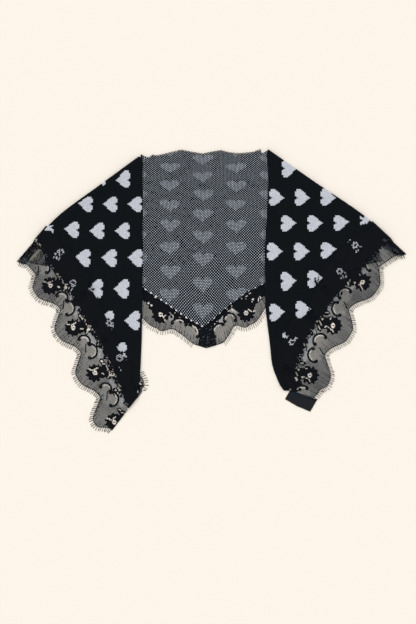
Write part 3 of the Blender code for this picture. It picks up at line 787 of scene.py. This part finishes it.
# Chantilly lace, charted in the tables below. Its meshes are 2.8 mm wide, about twice as coarse as real ones,
# so that they show and the faces stay few. Widths are the threads' between the meshes of each kind of ground,
# and threads says which material a ground has, where that isn't the net's.
laceLook = {
    "pitch": 2.8, "thread": 0.45, "rise": 0.25,
    "widths": {"dense": 1.25, "net": 0.94, "veil": 0.74, "shade": 0.74, "light": 0.60, "sparse": 0.24},
    "threads": {"closed": 1, "dense": 1, "shade": 1, "light": 2, "sparse": 2},
    "patch": 21, "beside": (2, 13), "openFrom": 7,                # open ground near the scrolls
    "spray": (2.5, 12.0), "stray": (6, 7, 0.12), "backBand": 5, "backSlope": 0.8,   # leaves along the knit
    "corner": (8, 26), "cornerIn": -8, "cornerDense": 1.1,        # worked ground at the fold
    "dot": 3.6, "lump": 15, "lumpLobes": 7, "lumpNotch": 0.18,
    "petal": 9.5, "floret": (2.8, 8.0), "petals": 6, "petalGap": 0.25,
    "flower": (16.5, 22), "teeth": 11, "ring": 5.3, "eye": 1.5, "y": 1.2,
    "glint": 1.6, "leaf": 4.8, "innerEdge": (8, 4, 2.5), "speck": 0.45,
    "band": 2.1, "curl": 2.3, "curlThread": 1.25, "lineAt": 3.7, "line": 2.1, "lineSweep": 0.68,
    "vein": 1.1, "tendril": (0.8, 1.3), "border": (0.9, 0.8), "ray": 8.5, "rayFrom": 8, "raySway": 3,
    "rayReach": (10, 28), "rayThread": (0.55, 0.5, 0.42, 0.28), "ripple": 2.5,
}
# Rates of the waves that keep the edges of the grounds from running straight
waves = {"ripple": (0.9, 0.7), "leaf": (4.6, 2.0), "corner": 0.35, "worked": (0.5, 0.3), "edge": (0.11, 0.23)}
motifKinds = ("scrolls", "flowers", "lumps", "ys", "florets", "dots", "veins", "glints", "tendrils", "bare",
              "open", "specks")

# Open dashes beside each floret
floretTail = ((-11, -5, -13, -7), (-12, 2, -16, 4), (-17, -3, -20, 0), (-11, 8, -14, 10))

# One repeat on each end, placed (inset, along) from a valley for the scrolls and from a peak for the rest.
# A scroll is its inset, along, radius, turn and sweep in degrees; the ring's Y is placed from the ring.
# Nudges move a whole repeat. What stands in one place has its x and y: bare, open and specks with a
# radius, "own" scrolls with heading and sweep, "corner" florets and "dark" lumps.
laceRepeat = {
    "left": {
        "scrolls": ((20, -16, 14, -17, 90), (11.4, 9.0, 17.0, 51, 91)), "ring": (36.5, 15.8), "weight": 0.95,
        "peakNudges": ((0, 0), (0.5, 2.5), (0.4, 4.7), (-4.5, 15.5)),
        "valleyNudges": ((0, 0), (0, 0), (4, 3), (2.4, 11)),
        "lump": (53, 27), "y": ((0, -8), (-5, -16), (11.5, -5)), "vein": ((2, 4), (19, -9)),
        "florets": ((80, 45), (104, -27)), "dots": ((52.7, 11.5), (34.6, 33.3)),
        "glints": ((66, 4, 66, 8), (64, 12, 67, 15), (68, 20, 66, 23), (65, 27, 63, 30), (64, 36, 61, 39),
                   (59, 41, 52, 44), (48, 28, 50, 31)),
        "tendrils": (((44.3, -11), (46, -3), (45, 7), (39, 20)), ((51.6, 7), (45, 13), (43, 24), (50, 26)),
                     ((50, 36), (42, 34), (37, 38))),
        "ownScrolls": ((-387.5, 49.7, 16, 0, 52),), "dark": (),
        "corner": ((-398, 108), (-415, 122.7), (-235, -78), (-211, -157)),
        "bare": ((-234, -55, 12), (-206, -132, 11), (-253, -1, 20)), "specks": ((-278, 4, 9),),
        "open": (("veil", -389, 52, 14), ("veil", -366, 38, 8), ("veil", -436, 60, 15),
                 ("shade", -404, 78, 17)),
    },
    "right": {
        "scrolls": ((28.9, -16.7, 16.4, -14.6, 90), (15.4, 14.6, 17, 56.6, 84)), "ring": (36.5, 15.8),
        "weight": 1.06,
        "peakNudges": ((0, -5), (5.8, -4.3), (7.8, -5.7)), "valleyNudges": ((0, 0), (0, 0), (0, 0)),
        "lump": (56, 24), "y": ((0.6, 8.9), (7.4, 11.4), (-10, 11.6)), "vein": ((2, 2), (20, -4)),
        "florets": ((92, 32.7), (106, -35.3)), "dots": ((54, 4), (42, 30)),
        "glints": ((52, 7, 52, 8), (66, 19, 66, 21), (68, 28, 60, 32), (73, 18, 73, 19), (69, 3, 64, 1),
                   (62, 38, 55, 42), (47, 27, 49, 30)),
        "tendrils": (((55, -28), (50, -27), (45, -21)), ((51, 12), (43, 13.6), (37, 23)),
                     ((50, 30), (42, 29), (36, 33), (35, 41))),
        "ownScrolls": ((375.4, 63, 24.4, 190, 50), (208, -240.4, 19.5, 99, 51)),
        "dark": ((183, -210), (180, -226), (196, -222), (177, -113), (170, -100), (317, 38), (324, 22)),
        "corner": ((185, -121),), "bare": ((210, -47, 21), (172.5, -109, 4), (236, 26, 18)),
        "specks": ((241, 20, 9), (228, -52, 8)), "open": (("veil", 376, 63, 23), ("veil", 396, 74, 12)),
    },
}

# Under the back's lower edge only one repeat shows on each side of the point.
laceBackMotifs = {
    "left": {
        "scrolls": ((-75.4, -85.3, 19, 82, 68), (-49.5, -100, 21.5, 32, 58)),
        "flowers": ((-116.2, -57.5),),
        "lumps": ((-113, -38), (-132, -36), (-150, -14), (-138, -24), (-98, -40)),
        "ys": (((-103.6, -56.3), (-109.8, -62.8)), ((-109.8, -62.8), (-107, -72.5))),
        "dots": ((-92, -62), (-70, -74)), "open": (("shade", -412, 66, 18), ("shade", -386, 68, 20)),
        "glints": (((-139, -37), (-138, -36)), ((-129, -18), (-128, -17)), ((-145, -30), (-145, -32))),
    },
    "right": {
        "scrolls": ((42.5, -69, 14.5, 95, 105), (22, -98, 20, 145, 68)),
        "flowers": ((79.4, -54),), "lumps": ((76, -38), (90, -30), (118, -4), (104, -14), (64, -38)),
        "ys": (((84, -44.8), (90.9, -50.6)), ((90.9, -50.6), (100, -50))),
        "dots": ((60, -44), (30, -62)), "open": (("shade", 385, 72, 26),),
        "glints": (((95, -22), (97, -24)), ((93, -27), (93, -28)), ((108, -22), (107, -26)),
                   ((112, -17), (113, -21))),
    },
}


def laceFold(rows, wing, across):
    outer, inner = rowEnds(rows[0])
    point = mix(inner, outer, across[:, None])
    along = unit(outer - inner)
    outward = quarterTurn(along) * -wing["side"]
    return point, outward, ease(*layers["laceFall"], (point - wing["fold"][-1]) @ along)


def layWing(side, flat, rise):
    # Lays flat lace on the folded end, round its fold and back underneath
    wing, rows = wings[side], laceWing[side]
    outer, inner = rowEnds(rows[0])
    along = unit(outer - inner)
    across = (flat - inner) @ along / np.linalg.norm(outer - inner)
    point, outward, bare = laceFold(rows, wing, across)
    inset = mix(fold["radius"] + walls["knit"], fold["laceRadius"] + walls["lace"], bare)
    axis = point - outward * inset[:, None]
    radius = mix(fold["radius"] + walls["knit"] + fold["laceLoose"], fold["laceRadius"], bare)
    beyond = (flat - axis) @ outward
    turn = math.pi / 2 - np.clip(beyond / radius, 0, math.pi)
    low, top = walls["lace"], laceHeight(axis, wing)
    around = axis + outward * ((radius + rise) * np.cos(turn))[:, None]
    aroundZ = (low + top) / 2 + ((top - low) / 2 + rise) * np.sin(turn)
    run = unit(wing["lipLow"])
    under = np.maximum(beyond - radius * math.pi, 0)
    lip = axis + run * (under / -(run @ outward))[:, None]
    onTop, inLip = beyond <= 0, beyond >= radius * math.pi
    xy = np.where(onTop[:, None], flat, np.where(inLip[:, None], lip, around))
    z = np.where(onTop, laceHeight(flat, wing) + rise, np.where(inLip, low - rise, aroundZ))
    return np.column_stack((xy, z))


def insideOutline(points, outline):
    inside = np.zeros(len(points), bool)
    for a, b in zip(outline, np.roll(outline, -1, axis=0)):
        if a[1] != b[1]:
            crosses = (a[1] > points[:, 1]) != (b[1] > points[:, 1])
            edgeX = (b[0] - a[0]) * (points[:, 1] - a[1]) / (b[1] - a[1]) + a[0]
            inside ^= crosses & (points[:, 0] < edgeX)
    return inside


def segmentFoot(points, a, b):
    a, span = np.asarray(a), np.subtract(b, a)
    part = np.clip(((points - a) @ span) / max(span @ span, 1e-9), 0, 1)
    foot = a + part[:, None] * span
    return foot, np.linalg.norm(points - foot, axis=1)


def nearestOnOutline(points, outline):
    best, result = np.full(len(points), np.inf), points.copy()
    for a, b in zip(outline, np.roll(outline, -1, axis=0)):
        foot, away = segmentFoot(points, a, b)
        closer = away < best
        best[closer], result[closer] = away[closer], foot[closer]
    return result


def linesDistance(points, lines):
    return np.min([segmentFoot(points, a, b)[1] for a, b in lines], axis=0)


def edgeStations(rows, start=0, end=None, steps=14, soften=3.5):
    # Outer and inner points between two rows, the valleys a little rounded
    outers, inners = stripStations(rows, steps)
    end = end or len(rows) - 1
    length = lengthAlong(outers)
    away = np.abs(length[:, None] - length[None])
    inReach = away <= np.minimum(length, length[-1] - length)[:, None] + 1e-6
    weight = np.exp(-0.5 * (away / soften) ** 2) * inReach
    outers = weight @ outers / weight.sum(axis=1, keepdims=True)
    span = slice(start * steps, end * steps + 1)
    return outers[span], inners[span]


def repeatFrame(rows, row, nudge=(0, 0)):
    # Where (inset, along) lies from a row's outer point, and the heading of the way in
    outer, inner = rowEnds(rows[row])
    inward = unit(inner - outer)
    along = quarterTurn(inward)
    onward = rowEnds(rows[min(row + 1, len(rows) - 1)])[1] - rowEnds(rows[row - 1])[1]
    along = along if along @ onward > 0 else -along

    def place(inset, shift):
        return outer + inward * (inset + nudge[0]) + along * (shift + nudge[1])

    def heading(turn):
        facing = inward * math.cos(math.radians(turn)) + along * math.sin(math.radians(turn))
        return math.degrees(math.atan2(facing[1], facing[0]))

    return place, heading


def repeatMotifs(rows, repeat):
    # The repeat set out along the whole edging
    motifs = {kind: [] for kind in motifKinds}
    for kind, own in (("lumps", "dark"), ("scrolls", "ownScrolls"), ("florets", "corner"), ("bare", "bare"),
                      ("open", "open"), ("specks", "specks")):
        motifs[kind] += repeat[own]
    valleys, peaks = ([row for row, values in enumerate(rows) if values[0] == kind]
                      for kind in ("valley", "peak"))
    for row in valleys[:-1]:
        place, heading = repeatFrame(rows, row, repeat["valleyNudges"][valleys.index(row)])
        if row != valleys[0]:      # the first valley has a scroll of its own
            motifs["scrolls"] += [(*place(inset, shift), radius, heading(turn), sweep)
                                  for inset, shift, radius, turn, sweep in repeat["scrolls"]]
        motifs["veins"].append([place(*end) for end in repeat["vein"]])
        motifs["tendrils"] += [[place(*knot) for knot in path] for path in repeat["tendrils"]]
        motifs["dots"] += [place(*dot) for dot in repeat["dots"]]
    for row, nudge in zip(peaks, repeat["peakNudges"]):
        place, _ = repeatFrame(rows, row, nudge)
        ring = repeat["ring"]
        motifs["flowers"].append(place(*ring))
        motifs["lumps"].append(place(*repeat["lump"]))
        knots = [place(ring[0] + inset, ring[1] + shift) for inset, shift in repeat["y"]]
        motifs["ys"] += [(knots[0], knots[1]), (knots[0], knots[2])]
        motifs["glints"] += [(place(*ends[:2]), place(*ends[2:])) for ends in repeat["glints"]]
        for inset, shift in repeat["florets"]:
            motifs["florets"].append(place(inset, shift))
            motifs["glints"] += [(place(inset + a, shift + b), place(inset + c, shift + d))
                                 for a, b, c, d in floretTail]
    return motifs


def onLace(paths, outline):
    return [path for path in paths if insideOutline(np.array(path[0]), outline).all()]


def polar(points, centre):
    away = points - np.array(centre, float)
    return np.hypot(*away.T), np.arctan2(away[:, 1], away[:, 0])


def lobes(angle, count):
    # 1 on each of the lobes round a motif and 0 between them
    return np.abs((angle * count / (2 * math.pi)) % 1 * 2 - 1)


def allOf(kind, points):
    return np.full(len(points), kind, dtype="<U6")


def lacePattern(points, motifs, beyond, fromInner, fromFold):
    # The ground of each mesh, by name. beyond is how far it lies outside the knit, fromInner from the
    # lace's inner edge and fromFold from the fold at its end. Later motifs are worked over earlier ones.
    look = laceLook
    kind = allOf("net", points)
    x, y = points.T
    rate, other = waves["ripple"]
    ripple = look["ripple"] * np.sin(x * rate) * np.sin(y * other + 1)
    along = 0.5 * np.abs(x - apexX) + 0.87 * y
    nearest = np.full(len(points), np.inf)
    for *centre, radius, _, _ in motifs["scrolls"]:
        away, _ = polar(points, centre)
        nearest = np.minimum(nearest, np.abs(away - radius))
        kind[away < radius] = "veil"
    near, far = look["beside"]
    beside = (nearest > near) & (nearest < far + ripple) & (kind != "veil")
    kind[(beyond < look["patch"] + ripple) & beside] = "light"
    rate, other = waves["leaf"]
    leaves = 0.5 + 0.3 * np.sin(along / rate) + 0.2 * np.sin(along / other + 1)
    kind[beyond < mix(*look["spray"], leaves) + ripple * 0.5] = "closed"
    glint, (middleAt, half, share) = chance.random(len(points)), look["stray"]
    kind[(np.abs(beyond - middleAt) < half) & (glint < share)] = "sparse"
    reach = mix(*look["corner"], 0.5 + 0.5 * np.sin(along * waves["corner"]))
    atCorner = (fromFold < reach) & (beyond > look["cornerIn"])
    rate, other = waves["worked"]
    worked = np.sin(fromFold * rate + along * other) + glint > look["cornerDense"]
    kind[atCorner] = np.where(worked[atCorner], "closed", "dense")
    for ground, *centre, radius in motifs["open"]:
        kind[(polar(points, centre)[0] < radius + ripple) & (beyond > look["openFrom"])] = ground
    for dot in motifs["dots"]:
        kind[polar(points, dot)[0] < look["dot"]] = "closed"
    for centre in motifs["lumps"]:
        away, angle = polar(points, centre)
        reach = 1 - look["lumpNotch"] + look["lumpNotch"] * lobes(angle, look["lumpLobes"])
        kind[away < look["lump"] * reach] = "closed"
    for centre in motifs["florets"]:
        away, angle = polar(points, centre)
        kind[away < look["petal"]] = "closed"
        inner, outer = look["floret"]
        kind[(away > inner) & (away < outer) & (lobes(angle, look["petals"]) > look["petalGap"])] = "bare"
    for centre in motifs["flowers"]:
        away, angle = polar(points, centre)
        kind[away < mix(*look["flower"], lobes(angle, look["teeth"]))] = "closed"
        kind[away < look["ring"]] = "bare"
    kind[linesDistance(points, motifs["ys"]) < look["y"]] = "bare"
    dashes = linesDistance(points, motifs["glints"])
    kind[dashes < look["leaf"]] = "closed"
    kind[dashes < look["glint"]] = "bare"
    for *centre, radius, heading, sweep in motifs["scrolls"]:      # an open line inside each scroll's band
        away, angle = polar(points, centre)
        swing = np.abs((angle - math.radians(heading) + math.pi) % (2 * math.pi) - math.pi)
        kind[(np.abs(away - radius + look["lineAt"]) < look["line"] / 2)
             & (swing < math.radians(sweep * look["lineSweep"]))] = "bare"
    # the inner edge runs in waves of leaves
    edge, wave, curl = look["innerEdge"]
    rate, other = waves["edge"]
    wave, curl = wave * np.sin((x * 0.55 - y * 0.8) * rate), curl * np.sin((x - y) * other + 1)
    kind[fromInner < edge + wave + curl + ripple * 0.5] = "bare"
    for name in ("bare", "specks"):
        for *centre, radius in motifs[name]:
            near = polar(points, centre)[0] < radius + ripple
            speck = (name == "specks") & (glint[near] < look["speck"])
            kind[near] = np.where(speck, "closed", "bare")
    return kind


def laceNet(name, outline, direction, pattern, lay, weight=1.0):
    # Hexagonal net cut to an outline, each mesh as open as the pattern has it, and laid in place
    look = laceLook
    outline = np.asarray(outline, float)
    u = unit(direction)
    v = -quarterTurn(u)
    local = np.column_stack((outline @ u, outline @ v))
    low, high = local.min(axis=0) - look["pitch"], local.max(axis=0) + look["pitch"]
    side = look["pitch"] / math.sqrt(3)
    size = high - low
    cells, column, line = gridShape(int(size[0] / (look["pitch"] / 2)), int(size[1] / (1.5 * side)))

    def drop(faces, context="FACES"):
        bmesh.ops.delete(cells, geom=faces, context=context)

    even = (column + line) % 2 == 0
    along = low[0] + column * look["pitch"] / 2
    across = low[1] + line * 1.5 * side + np.where(even, side / 4, -side / 4)
    for vert, point in zip(cells.verts, along[:, None] * u + across[:, None] * v):
        vert.co = (*point, 0)
    # the grid becomes hexagons once every other rung is gone
    ends = [(edge, *sorted((vert.index for vert in edge.verts), key=lambda number: line[number]))
            for edge in cells.edges]
    rungs = [edge for edge, lower, upper in ends if column[lower] == column[upper] and not even[lower]]
    bmesh.ops.dissolve_edges(cells, edges=rungs, use_verts=False)
    keep = insideOutline(np.array([face.calc_center_median().xy for face in cells.faces]), outline)
    drop([face for face, kept in zip(cells.faces, keep) if not kept])
    rim = [vert for vert in cells.verts if vert.is_boundary]
    for vert, point in zip(rim, nearestOnOutline(np.array([vert.co.xy for vert in rim]), outline)):
        vert.co = (*point, 0)
    faces = list(cells.faces)
    kinds = pattern(np.array([face.calc_center_median().xy for face in faces]))
    for face, kind in zip(faces, kinds):
        face.material_index = look["threads"].get(kind, 0)
    drop([face for face, kind in zip(faces, kinds) if kind == "bare"])
    for kind, width in look["widths"].items():
        holes = [face for face, this in zip(faces, kinds) if this == kind]
        bmesh.ops.inset_individual(cells, faces=holes, thickness=width * weight / 2, use_even_offset=True)
        drop(holes, "FACES_ONLY")
    # an inset turns over where a mesh at the rim is narrower than its thread
    cells.normal_update()
    drop([face for face in cells.faces if face.normal.z < 0])
    mesh = meshOf(name, cells)
    points = coordinates(mesh)
    setCoordinates(mesh, toWorld(lay(points[:, :2], look["rise"] * np.ones(len(points)))))
    piece = newObject(name, mesh, netThread, clothwork, openThread)
    addWall(piece, look["thread"])
    return piece


def circlePoints(angles):
    return np.column_stack((np.cos(angles), np.sin(angles)))


def motifCords(motifs):
    # The scrolls' bands with a curl at each end, the flowers' eyes on a spoke, the veins and the tendrils
    look, paths, bandKnots, curlKnots, lineKnots, curlTurn = laceLook, [], 21, 10, 5, 330
    for *centre, radius, heading, sweep in motifs["scrolls"]:
        angles = np.radians(heading + np.linspace(-sweep, sweep, bandKnots))
        ring = circlePoints(angles)
        paths.append((centre + radius * ring, np.full(bandKnots, look["band"])))
        for end, way in ((0, -1), (-1, 1)):
            turns = angles[end] + way * np.linspace(0, math.radians(curlTurn), curlKnots)
            curl = centre + ring[end] * (radius - look["curl"]) + look["curl"] * circlePoints(turns)
            paths.append((curl, np.linspace(look["band"], look["curlThread"], curlKnots)))
    spoke = np.array((-4.0, -1.3, -0.8, 0, 0.8, 1.3, 4.0)) * look["eye"]
    stout = np.array((0.2, 0.2, 0.8, 1, 0.8, 0.2, 0.2)) * look["eye"]
    for centre in motifs["flowers"]:
        paths.append((np.array(centre) + np.outer(spoke, (1, 0)), stout))
    for a, b in motifs["veins"]:
        paths.append((mix(a, b, np.linspace(0, 1, lineKnots)[:, None]), np.full(lineKnots, look["vein"])))
    for knots in motifs["tendrils"]:
        paths.append((smoothPath(knots, 9), np.linspace(*look["tendril"], 9)))
    return paths


def borderCords(rows, start=0, end=None):
    # The cord along the scalloped edge, and fine rays from it into each scallop
    look = laceLook
    thin, sway = look["rayThread"], look["raySway"]
    outers, inners = edgeStations(rows, start, end)
    inward = unit(inners - outers)
    inset, radius = look["border"]
    paths = [(outers + inward * inset, np.full(len(outers), radius))]
    length = lengthAlong(outers)
    for place in np.arange(look["rayFrom"], length[-1], look["ray"]):
        number = np.searchsorted(length, place + chance.uniform(-sway, sway))
        reach = chance.uniform(*look["rayReach"])
        paths.append((outers[number] + inward[number] * np.linspace(1, reach, len(thin))[:, None], thin))
    return paths


lashLook = {
    "pitch": 4.6, "length": 10.0, "uneven": (0.86, 1.08), "lean": 0.8, "stray": 0.10, "bend": 0.4,
    "radius": 0.6, "neck": 0.95, "tip": 0.66, "stout": (0.7, 1.35), "gap": 0.1, "fromFold": 6.0,
    "weight": {"wing": 1.0, "back": 0.72},
}


def lashes(name, rows, start, end, lay, clear=0.0, weight=1.0):
    # Eyelashes: threads standing off the scalloped edge. Real ones are 1.5 mm apart, too fine to show.
    look, near = lashLook, 2
    outers, inners = edgeStations(rows, start, end)
    ways, length, steps = unit(outers - inners), lengthAlong(outers), np.array((0, 0.5, 1.0))
    count = int((length[-1] - clear) / look["pitch"])
    paths = []
    for place in clear + (np.arange(count) + 0.5) * (length[-1] - clear) / count:
        root, before, after = readPath(outers, length, np.array((place, place - near, place + near)))
        away = readPath(ways, length, np.array((place,)))[0]
        out = quarterTurn(after - before)
        out = unit(out if out @ away > 0 else -out)
        way = unit(out + away * look["lean"] + chance.normal(0, look["stray"], 2))
        reach = look["length"] * chance.uniform(*look["uneven"])
        bend = -quarterTurn(way) * chance.normal(0, look["bend"])
        points = root + way * (look["gap"] + steps * reach)[:, None] + bend * (steps ** 2)[:, None]
        stout = chance.uniform(*look["stout"]) * weight
        thick = look["radius"] * stout
        paths.append((points, (thick, thick * look["neck"], look["tip"] * stout)))
    return cords(name, paths, lay, flatten=1.0)


# Each scallop's strip of eyelashes runs from one of these rows of its lace to the next.
lashStops = {"left": (0, 2, 4, 6, 8, 10), "right": (0, 2, 4, 6, 8, 9), "back": (5, 7, 9)}


def edging(place, side, rows, outline, motifs, pattern, lay, stops, weight=1.0):
    # One stretch of lace with its cords, and the strips of eyelashes along its scallops
    title = place.title() + side.title()
    direction = rowEnds(rows[-1])[0] - rowEnds(rows[0])[0]
    net = laceNet("lace" + title, outline, direction, pattern, lay, weight)
    paths = onLace(motifCords(motifs), outline) + borderCords(rows)
    piece = finish(joined("lace" + title, [net, cords("cords", paths, lay)]))
    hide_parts(f"lace_{place}_{side}")
    fringe = []
    for number, (start, end) in enumerate(zip(stops, stops[1:]), 1):
        clear = lashLook["fromFold"] if start == 0 else 0
        strip = lashes(f"lash{title}{number}", rows, start, end, lay, clear, lashLook["weight"][place])
        finish(strip)
        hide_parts(f"lash_{place}_{side}_{number}")
        fringe.append(strip)
    print("lace", place, side, "made:", len(piece.data.loops) - 2 * len(piece.data.polygons), "triangles")
    return piece, fringe


for side, rows in laceWing.items():
    wing, motifs = wings[side], repeatMotifs(rows, laceRepeat[side])

    def lay(flat, rise, side=side):
        return layWing(side, flat, rise)

    outers, inners = edgeStations(rows)
    foldEnds = rowEnds(rows[0])[::-1]

    def pattern(points, wing=wing, motifs=motifs, inners=inners, foldEnds=foldEnds):
        fromInner = linesDistance(points, zip(inners[4:], inners[5:]))
        return lacePattern(points, motifs, pastEdge(points, wing), fromInner, segmentFoot(points, *foldEnds)[1])

    _, outward, _ = laceFold(rows, wing, np.zeros(1))
    under = fold["lip"] + fold["laceUnder"]
    outline = np.vstack((inners[::-1], inners[0] + outward * under, outers[0] + outward * under, outers))
    piece, fringe = edging("wing", side, rows, outline, motifs, pattern, lay, lashStops[side],
                           laceRepeat[side]["weight"])
    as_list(fringe)

for side, rows in laceBack.items():
    motifs = {**dict.fromkeys(motifKinds, ()), **laceBackMotifs[side]}

    def pattern(points, motifs=motifs):
        far = np.full(len(points), 99.0)
        beyond = -edgeDistance(*points.T) * laceLook["backSlope"] - laceLook["backBand"]
        return lacePattern(points, motifs, beyond, far, far)

    outers, inners = edgeStations(rows)
    outline = np.vstack((inners[::-1], outers))
    piece, fringe = edging("back", side, rows, outline, motifs, pattern, layFloor(0), lashStops["back"])
    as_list(fringe)


def mostlyClosed(points, netShare=0.15):
    kind = allOf("closed", points)
    kind[chance.random(len(points)) < netShare] = "net"
    return kind


piece = finish(laceNet("laceMitre", mitre, (1, 0), mostlyClosed, layFloor(laceSeat)))
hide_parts("lace_mitre")

outers, inners = edgeStations(laceEnd)


def endPattern(points):
    # Dark clothwork with a row of open dashes inside the scalloped edge
    rim, dashAt, dashHalf, dashWave, dashRate, waveRate, strayShare = 3.5, 7.5, 1.6, 2, 0.42, 0.3, 0.10
    fromEdge = linesDistance(points, zip(outers, outers[1:]))
    along = points[:, 1] * 0.9 - points[:, 0] * 0.3
    kind = allOf("closed", points)
    kind[fromEdge < rim] = "net"
    onLine = np.abs(fromEdge - dashAt - dashWave * np.sin(along * waveRate)) < dashHalf
    kind[onLine & (np.sin(along * dashRate) > 0.1)] = "bare"
    kind[chance.random(len(points)) < strayShare] = "net"
    return kind


net = laceNet("laceEndLeft", np.vstack((inners[::-1], outers)), (0, 1), endPattern, layFloor(0))
border = cords("cords", borderCords(laceEnd, 0, 2), layFloor(0))
piece = finish(joined("laceEndLeft", [net, border]))
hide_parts("lace_end_left")
strip = finish(lashes("lashEndLeft", laceEnd, 0, 2, layFloor(0)))
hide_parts("lash_end_left")
print("lace made")


# Label

ribbonThickness = walls["label"] - 0.1
shape = bmesh.new()
corners = bmesh.ops.create_circle(shape, segments=len(labelOutline), radius=1, cap_ends=True)["verts"]
for vert, corner in zip(corners, toWorld([(*point, 0) for point in labelOutline])):
    vert.co = corner
shape.normal_update()
bmesh.ops.reverse_faces(shape, faces=[face for face in shape.faces if face.normal.z < 0])
piece = finish(newObject("bareLabel", meshOf("bareLabel", shape), ribbon))
addWall(piece, ribbonThickness)
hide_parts("label")
print("label made")


# Setting

stageLook = {"floor": "#f4ece1", "floorSize": 8, "floorGap": 0.0005, "light": 1.03, "lightSpread": 60,
             "lightFrom": (-0.42, 0.5, 1), "world": 0.82,
             "lens": 85, "sensor": 36, "distance": 3.388, "look": (-0.008, -0.047)}
floorPaint = newMaterial("creamPaper", 1, 0)       # uncoated paper: dead matt, so only soft shade shows
floorColour = floorPaint.node_tree.nodes["Principled BSDF"].inputs["Base Color"]
floorColour.default_value = colour(stageLook["floor"])
ground, _, _ = gridShape(1, 1)
bmesh.ops.scale(ground, vec=(stageLook["floorSize"],) * 3, verts=ground.verts)
floor = newObject("floor", meshOf("floor", ground), floorPaint)
floor.location.z = -stageLook["floorGap"]

scene = bpy.context.scene
scene.world = bpy.data.worlds.new("studio")
scene.world.use_nodes = True
background = scene.world.node_tree.nodes["Background"]
background.inputs["Color"].default_value = (1, 1, 1, 1)
background.inputs["Strength"].default_value = stageLook["world"]

lamp = bpy.data.objects.new("softbox", bpy.data.lights.new("softbox", "SUN"))
lamp.data.angle = math.radians(stageLook["lightSpread"])
lamp.data.energy = stageLook["light"]
lamp.rotation_euler = Vector(stageLook["lightFrom"]).to_track_quat("Z", "Y").to_euler()

camera = bpy.data.objects.new("camera", bpy.data.cameras.new("camera"))
camera.data.lens = stageLook["lens"]
camera.data.sensor_fit = "VERTICAL"
camera.data.sensor_height = stageLook["sensor"]
camera.data.clip_end = 20
camera.location = (*stageLook["look"], stageLook["distance"])
for thing in (lamp, camera):
    scene.collection.objects.link(thing)
scene.camera = camera
scene.view_settings.view_transform = "Standard"
print("stage set")
